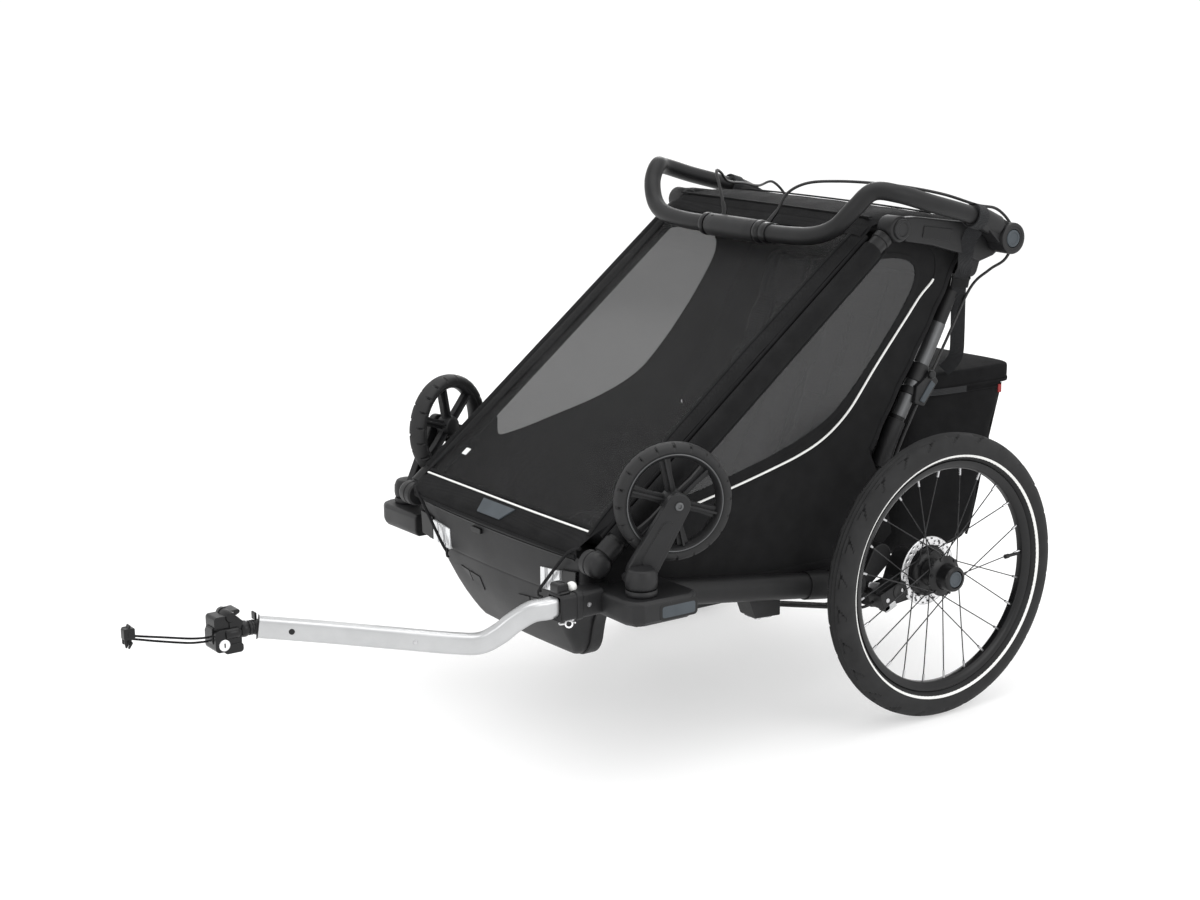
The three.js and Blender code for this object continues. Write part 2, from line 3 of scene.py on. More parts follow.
import bmesh
import bpy
import numpy as np
from mathutils import Matrix, Vector, geometry


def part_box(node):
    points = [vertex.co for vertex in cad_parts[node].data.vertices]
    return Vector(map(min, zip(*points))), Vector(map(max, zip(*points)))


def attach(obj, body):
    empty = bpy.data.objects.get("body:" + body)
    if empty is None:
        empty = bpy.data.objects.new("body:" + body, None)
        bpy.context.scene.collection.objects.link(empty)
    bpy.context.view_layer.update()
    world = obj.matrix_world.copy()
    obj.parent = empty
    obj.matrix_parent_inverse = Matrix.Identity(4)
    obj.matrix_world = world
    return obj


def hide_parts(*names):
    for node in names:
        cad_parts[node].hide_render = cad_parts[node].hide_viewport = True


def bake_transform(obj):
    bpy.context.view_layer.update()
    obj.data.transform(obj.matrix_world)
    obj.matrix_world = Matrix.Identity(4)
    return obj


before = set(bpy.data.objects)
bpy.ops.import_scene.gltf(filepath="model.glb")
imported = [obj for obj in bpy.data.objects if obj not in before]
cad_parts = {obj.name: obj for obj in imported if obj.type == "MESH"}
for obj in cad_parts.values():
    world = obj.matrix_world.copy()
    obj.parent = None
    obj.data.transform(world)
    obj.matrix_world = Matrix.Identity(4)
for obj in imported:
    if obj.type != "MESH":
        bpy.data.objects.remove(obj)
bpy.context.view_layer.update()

# Every drawing helper takes millimetres from the ground point under the middle of the wheel axle:
# +X to the trailer's left, +Y rearwards, +Z up. metres() turns them into the frame's metres.
MM = 0.001
TYRE_LOW, TYRE_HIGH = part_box("tyre_left")
AXLE_Y = (TYRE_LOW.y + TYRE_HIGH.y) / 2
WHEEL_R = TYRE_HIGH.z / 2 / MM
WHEEL_X = (TYRE_LOW.x + TYRE_HIGH.x) / 2 / MM
SIDES = (("left", 1), ("right", -1))

FOLD = (-652, 357)          # pivots and tubes as (y, z)
BROW = (-55, 829)
HANDLE = (165, 800)
STRUT_TOP = (150, 742)
CROSS = (-79, 276)
CROSSBAR = (-160, 811)
TUBE_X = 283                # front tubes


def metres(points):
    return np.asarray(points, float) * MM + np.array([0, AXLE_Y, 0])


# ------------------------------------------------------------------ materials
def look(name, color, rough, metal=0.0, mottle=0.12, mottle_scale=35, grain=0.0, grain_scale=1400,
         weave=0.0, pitch=1.3, sheen=0.0, brushed=0.0, coat=0.0, through=0.0, smudge=0.1, shine=0.4,
         glow=0.0):
    """Procedural material: mottled colour, uneven roughness, and grain, weave or brushing as bump."""
    mat = bpy.data.materials.new(name)
    mat.use_nodes = True
    tree = mat.node_tree
    tree.nodes.clear()

    def node(kind, settings=None, **inputs):
        n = tree.nodes.new("ShaderNode" + kind)
        for key, value in (settings or {}).items():
            setattr(n, key, value)
        for key, value in inputs.items():
            socket = n.inputs[int(key[1:])] if key[0] == "i" and key[1:].isdigit() else n.inputs[key]
            if isinstance(value, bpy.types.NodeSocket):
                tree.links.new(value, socket)
            else:
                socket.default_value = value
        return n

    place = node("TexCoord").outputs["Object"]
    clouds = node("TexNoise", Vector=place, Scale=mottle_scale, Detail=5.0)
    spread = node("MapRange", **{"Value": clouds.outputs["Fac"], "From Min": 0.3, "From Max": 0.7})
    dark = [c * (1 - mottle) for c in color] + [1]
    pale = [min(1, c * (1 + mottle) + 0.004 * mottle) for c in color] + [1]
    tone = node("Mix", {"data_type": "RGBA"}, Factor=spread.outputs["Result"], i6=dark, i7=pale)
    base = tone.outputs[2]
    patches = node("TexNoise", Vector=place, Scale=11.0, Detail=3.0)
    wear = node("MapRange", **{"Value": patches.outputs["Fac"], "To Min": max(0.02, rough - smudge),
                               "To Max": min(1, rough + smudge)})
    height = None
    strength = 0.0
    if weave:
        turns = node("VectorMath", {"operation": "SCALE"}, Vector=place, Scale=2 * math.pi / (pitch * MM))
        waves = node("VectorMath", {"operation": "SINE"}, Vector=turns.outputs[0])
        split = node("SeparateXYZ", Vector=waves.outputs[0]).outputs
        products = [node("Math", {"operation": "MULTIPLY"}, i0=split[i], i1=split[(i + 1) % 3])
                    for i in range(3)]
        total = node("Math", {"operation": "ADD"}, i0=products[0].outputs[0], i1=products[1].outputs[0])
        total = node("Math", {"operation": "ADD"}, i0=total.outputs[0], i1=products[2].outputs[0])
        height, strength = total.outputs[0], weave
        threads = node("MapRange", **{"Value": height, "From Min": -1.0, "From Max": 1.0,
                                      "To Min": 1 - 0.35 * weave, "To Max": 1 + 0.25 * weave})
        shade = node("VectorMath", {"operation": "SCALE"}, Vector=base, Scale=threads.outputs[0])
        base = shade.outputs[0]
    elif brushed:
        squeeze = node("VectorMath", {"operation": "MULTIPLY"}, Vector=place, i1=(60, 1.5, 60))
        height = node("TexNoise", Vector=squeeze.outputs[0], Scale=25.0, Detail=4.0).outputs["Fac"]
        strength = brushed
    elif grain:
        height = node("TexNoise", Vector=place, Scale=grain_scale, Detail=2.0).outputs["Fac"]
        strength = grain
    surface = node("BsdfPrincipled", **{
        "Base Color": base, "Roughness": wear.outputs["Result"], "Metallic": metal,
        "Specular IOR Level": shine, "Sheen Weight": sheen, "Sheen Roughness": 0.5, "Coat Weight": coat,
        "Coat Roughness": 0.15})
    if height is not None:
        bump = node("Bump", Height=height, Strength=min(1, strength), Distance=0.00025)
        tree.links.new(bump.outputs[0], surface.inputs["Normal"])
    result = surface.outputs[0]
    if glow:
        shine_on = node("Emission", Color=(1, 1, 1, 1), Strength=glow)
        result = node("AddShader", i0=result, i1=shine_on.outputs[0]).outputs[0]
    if through:
        clear = node("BsdfTransparent")
        holes = node("MapRange", **{"Value": height, "From Min": -1.0, "From Max": 1.0,
                                    "To Min": 1 - through - 0.03, "To Max": 1 - through + 0.03}) \
            if height is not None else node("Value")
        if height is None:
            holes.outputs[0].default_value = 1 - through
        result = node("MixShader", i0=holes.outputs[0], i1=clear.outputs[0], i2=result).outputs[0]
    tree.links.new(result, node("OutputMaterial").inputs["Surface"])
    mat.diffuse_color = (*color, 1)
    return mat


PAINT = look("satin_black_paint", (0.008, 0.008, 0.0085), 0.45, grain=0.25, shine=0.27)
PLASTIC = look("black_plastic", (0.0105, 0.0105, 0.0112), 0.48, grain=0.5, shine=0.32)
GLOSS = look("smooth_black_plastic", (0.0065, 0.0065, 0.007), 0.3, grain=0.1, shine=0.3)
SLATE = look("slate_plastic", (0.043, 0.053, 0.062), 0.5, grain=0.5)
RUBBER = look("tyre_rubber", (0.0125, 0.0125, 0.013), 0.7, grain=0.6, grain_scale=700, mottle=0.2, shine=0.3)
# Darker rubber for the cut parts of a tread: painted shade in the grooves.
GROOVE_SHADE = look("tyre_groove_painted_shade", (0.0075, 0.0075, 0.0078), 0.85, mottle=0.2, shine=0.15)
SMALL_RUBBER = look("caster_rubber", (0.0115, 0.0115, 0.012), 0.6, grain=0.5, grain_scale=900, shine=0.35)
FABRIC = look("charcoal_fabric", (0.0125, 0.0125, 0.013), 0.85, weave=0.55, pitch=1.4, sheen=0.02, shine=0.06)
BAG_FABRIC = look("bag_fabric", (0.0095, 0.0095, 0.01), 0.86, weave=0.6, pitch=1.8, sheen=0.0, shine=0.07)
SEAT_FABRIC = look("seat_fabric", (0.02, 0.02, 0.022), 0.9, weave=0.7, pitch=2.2, sheen=0.1, shine=0.12)
MESH = look("cover_mesh", (0.016, 0.016, 0.0165), 0.6, weave=0.6, pitch=2.2, through=0.38, shine=0.2)
WINDOW = look("tinted_window", (0.035, 0.035, 0.036), 0.24, through=0.3, mottle=0.05, smudge=0.05, shine=0.5)
WEBBING = look("webbing", (0.016, 0.0165, 0.018), 0.75, weave=0.9, pitch=2.6, sheen=0.05, shine=0.2)
PIPING = look("reflective_piping", (0.82, 0.82, 0.8), 0.4, weave=0.3, pitch=1.5, mottle=0.05)
REFLECTOR = look("reflector", (0.78, 0.79, 0.8), 0.18, metal=0.35, mottle=0.05, coat=0.6)
SILVER = look("anodised_silver", (0.5, 0.505, 0.51), 0.34, metal=0.85, brushed=0.25, mottle=0.04)
STEEL = look("brushed_steel", (0.55, 0.55, 0.56), 0.3, metal=1.0, brushed=0.4, mottle=0.08)
DARK_STEEL = look("black_spoke_steel", (0.022, 0.022, 0.023), 0.3, metal=0.3, mottle=0.1)
GREY_METAL = look("grey_anodised_tube", (0.11, 0.112, 0.115), 0.36, metal=0.7, brushed=0.2, mottle=0.06)
DISC_STEEL = look("disc_steel", (0.86, 0.86, 0.87), 0.34, metal=0.7, brushed=0.3, mottle=0.05)
JACKET = look("cable_jacket", (0.008, 0.008, 0.0085), 0.42, grain=0.2)
CORD = look("elastic_cord", (0.011, 0.011, 0.012), 0.8, weave=0.9, pitch=1.6, shine=0.2)
RED = look("red_tag", (0.28, 0.02, 0.02), 0.5, weave=0.4, pitch=1.2)


# ------------------------------------------------------------------ mesh helpers
def mesh(name, verts, faces, material, side=1, angle=38, bevel=0.0, thick=0.0, offset=1):
    """Mesh object from millimetre points. side -1 mirrors it to the right."""
    points = np.array([list(v) for v in verts], float)
    points[:, 0] *= side
    data = bpy.data.meshes.new(name)
    data.from_pydata(metres(points).tolist(), [], [list(f) for f in faces])
    work = bmesh.new()
    work.from_mesh(data)
    bmesh.ops.remove_doubles(work, verts=work.verts, dist=1e-6)
    bmesh.ops.recalc_face_normals(work, faces=work.faces)
    work.to_mesh(data)
    work.free()
    obj = bpy.data.objects.new(name, data)
    bpy.context.scene.collection.objects.link(obj)
    data.materials.append(material)
    if thick:
        wall = obj.modifiers.new("wall", "SOLIDIFY")
        wall.thickness, wall.offset = thick * MM, offset
    if bevel:
        edge = obj.modifiers.new("edges", "BEVEL")
        edge.width, edge.segments, edge.limit_method = bevel * MM, 3, "ANGLE"
        edge.angle_limit, edge.harden_normals = math.radians(35), True
    shade(data, angle)
    return obj


def shade(data, angle):
    data.polygons.foreach_set("use_smooth", [True] * len(data.polygons))
    data.set_sharp_from_angle(angle=math.radians(angle))


def put(obj, body, slot, *nodes):
    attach(obj, body)
    if nodes:
        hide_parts(*nodes)
    return obj


def ring_faces(rings, per, closed=True, caps=True, wrap=False):
    """Quads between rings of points laid one after another; wrap joins the last ring to the first."""
    faces = []
    for r in range(rings if wrap else rings - 1):
        a, b = r * per, ((r + 1) % rings) * per
        for i in range(per if closed else per - 1):
            j = (i + 1) % per
            faces.append((a + i, a + j, b + j, b + i))
    if caps and not wrap:
        faces += [tuple(range(per)), tuple(range((rings - 1) * per, rings * per))]
    return faces


def frame_of(axis):
    axis = Vector(axis).normalized()
    first = axis.cross((0, 0, 1)) if abs(axis.z) < 0.9 else axis.cross((0, 1, 0))
    first.normalize()
    return axis, first, axis.cross(first)


def lathe(profile, origin, axis=(1, 0, 0), segments=72, ring=False):
    """Verts and faces turned about an axis from (along, radius) pairs; ring closes the profile."""
    axis, u, v = frame_of(axis)
    origin = Vector(origin)
    verts = []
    for along, radius in profile:
        for i in range(segments):
            a = 2 * math.pi * i / segments
            verts.append(origin + axis * along + (u * math.cos(a) + v * math.sin(a)) * max(radius, 0.01))
    return verts, ring_faces(len(profile), segments, wrap=ring)


def smooth_path(points, steps=8):
    """Catmull-Rom line through the points."""
    p = [Vector(q) for q in points]
    p = [p[0] * 2 - p[1]] + p + [p[-1] * 2 - p[-2]]
    out = []
    for i in range(1, len(p) - 2):
        for k in range(steps):
            t = k / steps
            out.append(0.5 * ((2 * p[i]) + (p[i + 1] - p[i - 1]) * t
                              + (2 * p[i - 1] - 5 * p[i] + 4 * p[i + 1] - p[i + 2]) * t * t
                              + (3 * p[i] - p[i - 1] - 3 * p[i + 1] + p[i + 2]) * t ** 3))
    return out + [p[-2]]


def sweep(points, section, up=(0, 0, 1), steps=8, fixed=True, taper=None):
    """Section of (side, up) pairs carried along a smooth path; fixed keeps its up near the given one."""
    line = smooth_path(points, steps) if steps > 1 else [Vector(q) for q in points]
    verts, lift = [], Vector(up)
    for i, p in enumerate(line):
        along = (line[min(i + 1, len(line) - 1)] - line[max(i - 1, 0)]).normalized()
        ref = Vector(up) if fixed else lift
        lift = (ref - along * ref.dot(along)).normalized()
        across = along.cross(lift)
        k = taper(i / (len(line) - 1)) if taper else 1
        verts += [p + across * (s * k) + lift * (t * k) for s, t in section]
    return verts, ring_faces(len(line), len(section))


def round_section(r, sides=20, flat=1.0):
    return [(r * math.cos(2 * math.pi * i / sides), r * flat * math.sin(2 * math.pi * i / sides))
            for i in range(sides)]


def tube(points, r, sides=20, steps=8, up=(0, 0, 1)):
    return sweep(points, round_section(r, sides), up=up, steps=steps, fixed=False)


def strap_section(width, thick):
    w, t = width / 2, thick / 2
    return [(-w, -t), (w, -t), (w, t), (-w, t)]


def prism(outline, low, high, plane="x"):
    """Outline extruded along X from (y, z) pairs, or along Z from (x, y), or along Y from (x, z)."""
    def corner(a, b, c):
        return {"x": (c, a, b), "z": (a, b, c), "y": (a, c, b)}[plane]
    n = len(outline)
    verts = [corner(a, b, low) for a, b in outline] + [corner(a, b, high) for a, b in outline]
    return verts, ring_faces(2, n)


def arc(center, r, start, end, steps=10):
    return [(center[0] + r * math.cos(math.radians(start + (end - start) * i / steps)),
             center[1] + r * math.sin(math.radians(start + (end - start) * i / steps)))
            for i in range(steps + 1)]


def link(a, ra, b, rb, steps=14):
    """Outline of two discs joined by their outer tangents."""
    angle = math.degrees(math.atan2(b[1] - a[1], b[0] - a[0]))
    spread = math.degrees(math.acos((ra - rb) / math.hypot(b[0] - a[0], b[1] - a[1])))
    return (arc(a, ra, angle + spread, angle - spread + 360, steps)
            + arc(b, rb, angle - spread, angle + spread, steps))


def rounded(width, height, r, center=(0, 0), steps=5):
    w, h = width / 2 - r, height / 2 - r
    a, b = center
    corners = [((a + w, b - h), -90), ((a + w, b + h), 0), ((a - w, b + h), 90), ((a - w, b - h), 180)]
    return [p for c, s in corners for p in arc(c, r, s, s + 90, steps)]


def joined(*parts):
    """Several closed (verts, faces) put into one."""
    verts, faces = [], []
    for v, f in parts:
        faces += [tuple(i + len(verts) for i in face) for face in f]
        verts += list(v)
    return verts, faces


def turned(part, pivot, axis, degrees):
    turn = Matrix.Rotation(math.radians(degrees), 4, Vector(axis))
    pivot = Vector(pivot)
    return [turn @ (Vector(v) - pivot) + pivot for v in part[0]], part[1]


def disc_cap(x0, x1, r, center, edge=2.0, segments=48, dish=0.0, dish_r=0.0):
    """Turned cap facing +X, with a rounded rim and perhaps a dished middle."""
    y, z = center
    profile = [(x0, 0), (x0, r), (x1 - edge, r)]
    profile += [(x1 - edge + edge * math.sin(a), r - edge + edge * math.cos(a))
                for a in (math.radians(d) for d in (22, 45, 67, 90))]
    if dish:
        profile += [(x1, dish_r), (x1 - dish, dish_r - dish)]
        profile.append((x1 - dish, 0))
    else:
        profile.append((x1, 0))
    return lathe(profile, (0, y, z), segments=segments)


def on_front(along, above):
    """Point (y, z) at a distance along the front tubes' line from the fold pivot, and above it."""
    dy, dz = BROW[0] - FOLD[0], BROW[1] - FOLD[1]
    length = math.hypot(dy, dz)
    dy, dz = dy / length, dz / length
    return FOLD[0] + dy * along - dz * above, FOLD[1] + dz * along + dy * above


FRONT_LENGTH = math.hypot(BROW[0] - FOLD[0], BROW[1] - FOLD[1])


# ------------------------------------------------------------------ camera, lights and floor
CAMERA_PLACE = (2.83695, -1.96169, 1.25369)
CAMERA_ANGLES = (55.394, 13.017, -0.5566)  # yaw, pitch and roll in degrees
CAMERA_LENS, CAMERA_SENSOR = 62.85, 36
FLOOR_REACH = 80


def camera():
    cam = bpy.data.objects.new("camera", bpy.data.cameras.new("camera"))
    bpy.context.scene.collection.objects.link(cam)
    cam.data.lens, cam.data.sensor_width, cam.data.sensor_fit = CAMERA_LENS, CAMERA_SENSOR, "HORIZONTAL"
    cam.data.clip_start, cam.data.clip_end = 0.05, 60
    yaw, pitch, roll = (math.radians(d) for d in CAMERA_ANGLES)
    back = Vector((math.sin(yaw) * math.cos(pitch), -math.cos(yaw) * math.cos(pitch), math.sin(pitch)))
    right = Vector((math.cos(yaw), math.sin(yaw), 0))
    up = back.cross(right)
    right, up = (right * math.cos(roll) + up * math.sin(roll), up * math.cos(roll) - right * math.sin(roll))
    facing = Matrix((right, up, back)).transposed().to_4x4()
    cam.matrix_world = Matrix.Translation(CAMERA_PLACE) @ facing
    bpy.context.scene.camera = cam


def light(name, place, target, size, power, color=(1, 1, 1)):
    data = bpy.data.lights.new(name, "AREA")
    data.shape, data.size, data.size_y, data.energy, data.color = "RECTANGLE", size[0], size[1], power, color
    obj = bpy.data.objects.new(name, data)
    bpy.context.scene.collection.objects.link(obj)
    obj.location = place
    obj.rotation_mode = "QUATERNION"
    obj.rotation_quaternion = (Vector(place) - Vector(target)).to_track_quat("Z", "Y")


def studio():
    scene = bpy.context.scene
    scene.view_settings.view_transform = "Standard"
    scene.view_settings.look = "None"
    world = bpy.data.worlds.new("studio")
    scene.world = world
    world.use_nodes = True
    world.node_tree.nodes["Background"].inputs[0].default_value = (1, 1, 1, 1)
    world.node_tree.nodes["Background"].inputs[1].default_value = 1.05
    light("top_softbox", (0.3, 0.2, 3.2), (0, 0, 0.4), (3.0, 3.0), 40)
    light("side_softbox", (3.2, 1.0, 1.9), (0, 0, 0.5), (2.2, 2.0), 26)
    light("front_softbox", (1.0, -3.6, 1.8), (0, 0, 0.5), (2.4, 1.6), 20)
    light("back_strip", (-2.8, 2.6, 2.0), (0, 0, 0.6), (1.2, 2.4), 30)

    floor = bpy.data.meshes.new("floor")
    corners = ((-1, -1), (1, -1), (1, 1), (-1, 1))
    floor.from_pydata([(x * FLOOR_REACH, y * FLOOR_REACH, 0) for x, y in corners], [], [(0, 1, 2, 3)])
    floor = bpy.data.objects.new("floor", floor)
    scene.collection.objects.link(floor)
    floor.data.materials.append(look("pale_floor", (0.56, 0.56, 0.56), 0.8, mottle=0.01, mottle_scale=2,
                                     grain=0.02, grain_scale=60, glow=0.46, shine=0.1))
    floor.location.z = -0.0005


def free_cord(name, route, r, material, slot, body, side=1,
              nodes=(), steps=6):
    """Mesh tube along the route."""
    line = smooth_path(route, steps)
    obj = put(mesh(name, *tube(line, r, 12, 1), material, side), body, slot, *nodes)
    return obj


def safety_strap():
    y, z = -1335, 324
    clip = joined(prism(rounded(17, 17, 2.5, (y, z + 4)), 86.4, 98.6),
                  prism(rounded(14, 26, 2.5, (y, z)), 84.4, 88),
                  prism(link((y - 6, z - 6), 2, (y - 5, z - 15), 1.3, 5), 94, 97.5),
                  prism(rounded(7, 8, 2, (y + 1, z + 3)), 83.4, 99.4),
                  prism(link((y + 3, z - 10), 2, (y - 1, z - 17), 1.3, 5), 85, 88.5),
                  prism(link((y + 3, z - 10), 2, (y - 1, z - 17), 1.3, 5), 94, 97.5),
                  prism(link((y, z + 10), 2, (y + 2, z + 15.5), 1.3, 5), 86, 97))
    clip = put(mesh("strap_hook", *clip, GLOSS, bevel=0.9), "coupler", "black_plastic", "strap_clip")
    upper = [(106, -1216.6, 303), (105, -1228, 303.6), (103.4, -1244, 305.6), (101, -1263, 309.4),
             (99, -1282, 313.6), (97, -1300, 317.4), (95, -1317, 321), (93, -1334.5, 325)]
    lower = [(102, -1216.6, 296), (101.2, -1228, 296.4), (100, -1244, 298), (98.4, -1263, 302),
             (97, -1282, 306.6), (95.4, -1300, 311), (94, -1317, 315.6), (92, -1334.5, 320)]
    free_cord("safety_cord_lower", lower, 1.7, CORD, "cable_jacket", "coupler", steps=4)
    free_cord("safety_cord", upper, 1.7, CORD, "cable_jacket", "coupler",
              nodes=["safety_strap"], steps=4)


camera()
studio()
safety_strap()


# ------------------------------------------------------------------ main wheels
TYRE_R = 23.3
TYRE_MID = WHEEL_R - TYRE_R


def tyre_mesh(middle, mid_r, r, square, turns, around, groove, center_z):
    """Ring of tread: groove(turn, side, lift) says how deep the rubber is cut at a place."""
    verts = []
    for i in range(turns):
        a = 2 * math.pi * i / turns
        for j in range(around):
            t = 2 * math.pi * j / around
            side, lift = math.cos(t), math.sin(t)
            across = r * square * math.copysign(abs(side) ** 0.85, side)
            out = mid_r + r * lift - groove(i / turns, side, lift)
            verts.append((middle + across, out * math.cos(a), center_z + out * math.sin(a)))
    return verts, ring_faces(turns, around, wrap=True)


ROAD_BLOCKS, CASTER_BLOCKS, SPOKES, DISC_CELLS = 26, 20, 24, 192


def road_tread(turn, side, lift):
    """Long slanted cuts on the shoulders, joined by short ones, and two lines round the crown."""
    if lift < 0.15:
        return 0
    phase = (turn * ROAD_BLOCKS + (0.5 if side < 0 else 0)) % 1
    out = abs(side)
    slanted = abs(phase - 0.15 - 0.75 * (out - 0.35)) < 0.06 and 0.35 < out < 0.87
    corner = abs(out - 0.4) < 0.05 and 0.15 < phase < 0.62
    return 2.8 if slanted or corner or abs(out - 0.17) < 0.035 else 0


def paint_groove_shade(obj, tyre, x0, z0, mid, radius, wide=1.0):
    """The cut parts of a tread get a darker rubber: painted shade in the grooves."""
    obj.data.materials.append(GROOVE_SHADE)
    verts, faces = tyre
    cut = []
    for x, y, z in verts:
        out = math.hypot(y, z - z0) - mid
        cut.append(out > 0 and math.hypot((x - x0) / wide, out) < radius - 1)
    for poly, face in zip(obj.data.polygons, faces):
        if all(cut[i] for i in face):
            poly.material_index = 1


def side_wheel(side, k):
    body = f"wheel_{side}"
    hub = (0, 0, WHEEL_R)
    tyre = tyre_mesh(WHEEL_X, TYRE_MID, TYRE_R, 1, 720, 44, road_tread, WHEEL_R)
    obj = put(mesh(f"road_tyre_{side}", *tyre, RUBBER, k, angle=34), body, "tyre_rubber", f"tyre_{side}")
    paint_groove_shade(obj, tyre, WHEEL_X, WHEEL_R, TYRE_MID, TYRE_R)
    for label, out in (("outer", 1), ("inner", -1)):
        band = [(WHEEL_X + out * (TYRE_R + lift) * math.cos(math.radians(d)),
                 TYRE_MID + (TYRE_R + lift) * math.sin(math.radians(d)))
                for lift, turn in ((0.55, (-40, -36, -32, -28)), (-0.3, (-28, -32, -36, -40)))
                for d in turn]
        put(mesh(f"tyre_stripe_{label}_{side}", *lathe(band, hub, segments=160, ring=True), PIPING, k),
            body, "silver")

    rim = [(-12.6, 199), (-12.2, 195), (-10.5, 190), (-7, 185.8), (-5, 184.8), (5, 184.8), (7, 185.8),
           (10.5, 190), (12.2, 195), (12.6, 199), (10, 201), (-10, 201)]
    put(mesh(f"wheel_rim_{side}", *lathe([(WHEEL_X + x, r) for x, r in rim], hub, segments=160, ring=True),
             GLOSS, k), body, "frame_paint", f"rim_{side}")

    shell = [(326, 0), (326, 43), (333, 43), (333.2, 37), (336.5, 35.5), (339, 33), (341, 24.5), (350, 21),
             (360, 21), (366.5, 24), (368.5, 33), (371, 35), (373.5, 32), (376, 23.5), (382, 22.2),
             (395, 22), (398.5, 20.8), (400, 18.6), (400, 15.2), (391, 14.9), (391, 0)]
    put(mesh(f"hub_shell_{side}", *lathe(shell, hub, segments=72), GLOSS, k), body, "frame_paint",
        f"hub_{side}")

    parts, nipples = [], []
    for i in range(SPOKES):
        lean = 1 if (i // 2) % 2 else -1
        at_rim = (i + 0.25) * math.pi / (SPOKES / 2)
        at_hub = at_rim + lean * math.pi / 3
        flange = (371 if i % 2 else 336) + 1.6 * lean
        inner = Vector((flange, 32 * math.cos(at_hub), WHEEL_R + 32 * math.sin(at_hub)))
        outer = Vector((WHEEL_X, 185.5 * math.cos(at_rim), WHEEL_R + 185.5 * math.sin(at_rim)))
        along = (outer - inner).normalized()
        parts.append(sweep([inner, outer], round_section(1.0, 8), up=(1, 0, 0), steps=1))
        nipples.append(sweep([outer - along * 13, outer], round_section(2.1, 8), up=(1, 0, 0), steps=1))
        parts.append(lathe([(-2.6, 0), (-2.6, 2.6), (2.6, 2.6), (2.6, 0)], inner, segments=10))
    put(mesh(f"spokes_{side}", *joined(*parts), DARK_STEEL, k), body, "steel")
    put(mesh(f"spoke_nipples_{side}", *joined(*nipples), STEEL, k), body, "steel")
    valve = joined(sweep([(WHEEL_X, 186, WHEEL_R + 8), (WHEEL_X, 158, WHEEL_R + 7)],
                         round_section(3, 14), up=(1, 0, 0), steps=1),
                   sweep([(WHEEL_X, 158, WHEEL_R + 7), (WHEEL_X, 150, WHEEL_R + 6.7)],
                         round_section(4, 14), up=(1, 0, 0), steps=1))
    put(mesh(f"valve_{side}", *valve, JACKET, k), body, "cable_jacket")

    disc(side, k, body)
    put(mesh(f"wheel_button_cap_{side}", *disc_cap(394.3, 399.7, 13.9, (0, WHEEL_R), 1.6, 48, 1.2, 10.5),
             SLATE, k), f"wheel_button_{side}", "slate_plastic", f"wheel_release_button_{side}")


def disc(side, k, body):
    """Slotted brake disc on its dark spider; the slots are filled with a thin dark sheet of painted shade."""
    cells, bands = DISC_CELLS, [44.4, 46.4, 48.6, 50.2, 52.6, 55.4, 57.4, 59.5]
    verts = []
    for r in bands:
        for i in range(cells):
            a = 2 * math.pi * i / cells
            verts.append((330, r * math.cos(a), WHEEL_R + r * math.sin(a)))
    plate, holes = [], []
    for b in range(len(bands) - 1):
        for i in range(cells):
            turn, cell, j = (i - 2 * b) % 8, i // 8 % 3, (i + 1) % cells
            cut = (b in (3, 4) and turn < 3 and cell < 2) or (b == 1 and 3 < turn < 6) \
                or (b == 5 and turn < 3 and cell == 2)
            face = (b * cells + i, b * cells + j, (b + 1) * cells + j, (b + 1) * cells + i)
            (holes if cut else plate).append(face)
    put(mesh(f"brake_disc_{side}", verts, plate, DISC_STEEL, k, thick=2, offset=0), body, "steel",
        f"brake_rotor_{side}")
    # Slots filled with a thin dark sheet: painted shade in the slots.
    put(mesh(f"disc_slot_painted_shade_{side}", verts, holes, JACKET, k, thick=0.8, offset=0), body, "black_plastic")
    arms = []
    for i in range(6):
        a = i * 60
        arm = [(34 * math.cos(math.radians(a - 16)), 34 * math.sin(math.radians(a - 16))),
               (45.5 * math.cos(math.radians(a - 4)), 45.5 * math.sin(math.radians(a - 4))),
               (45.5 * math.cos(math.radians(a + 10)), 45.5 * math.sin(math.radians(a + 10))),
               (34 * math.cos(math.radians(a + 16)), 34 * math.sin(math.radians(a + 16)))]
        arms.append(prism([(y, WHEEL_R + z) for y, z in arm], 327.6, 330.8))
        y, z = 44 * math.cos(math.radians(a + 3)), 44 * math.sin(math.radians(a + 3))
        arms.append(lathe([(330, 0), (330, 2.6), (333, 2.6), (333, 0)], (0, y, WHEEL_R + z), segments=12))
    put(mesh(f"disc_spider_{side}", *joined(*arms), GLOSS, k), body, "black_plastic")


# ------------------------------------------------------------------ suspension and lower frame
def side_tube_at(y):
    return (290, y, 245 - 0.139 * (y + 194))


def keep(node, material, angle=32, bevel=0.0):
    """A CAD node that stays, with its finish and, if asked, its edges rounded."""
    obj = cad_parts[node]
    obj.data.materials.clear()
    obj.data.materials.append(material)
    if bevel:
        edge = obj.modifiers.new("edges", "BEVEL")
        edge.width, edge.segments, edge.limit_method = bevel * MM, 3, "ANGLE"
        edge.angle_limit, edge.harden_normals = math.radians(35), True
    shade(obj.data, angle)
    return obj


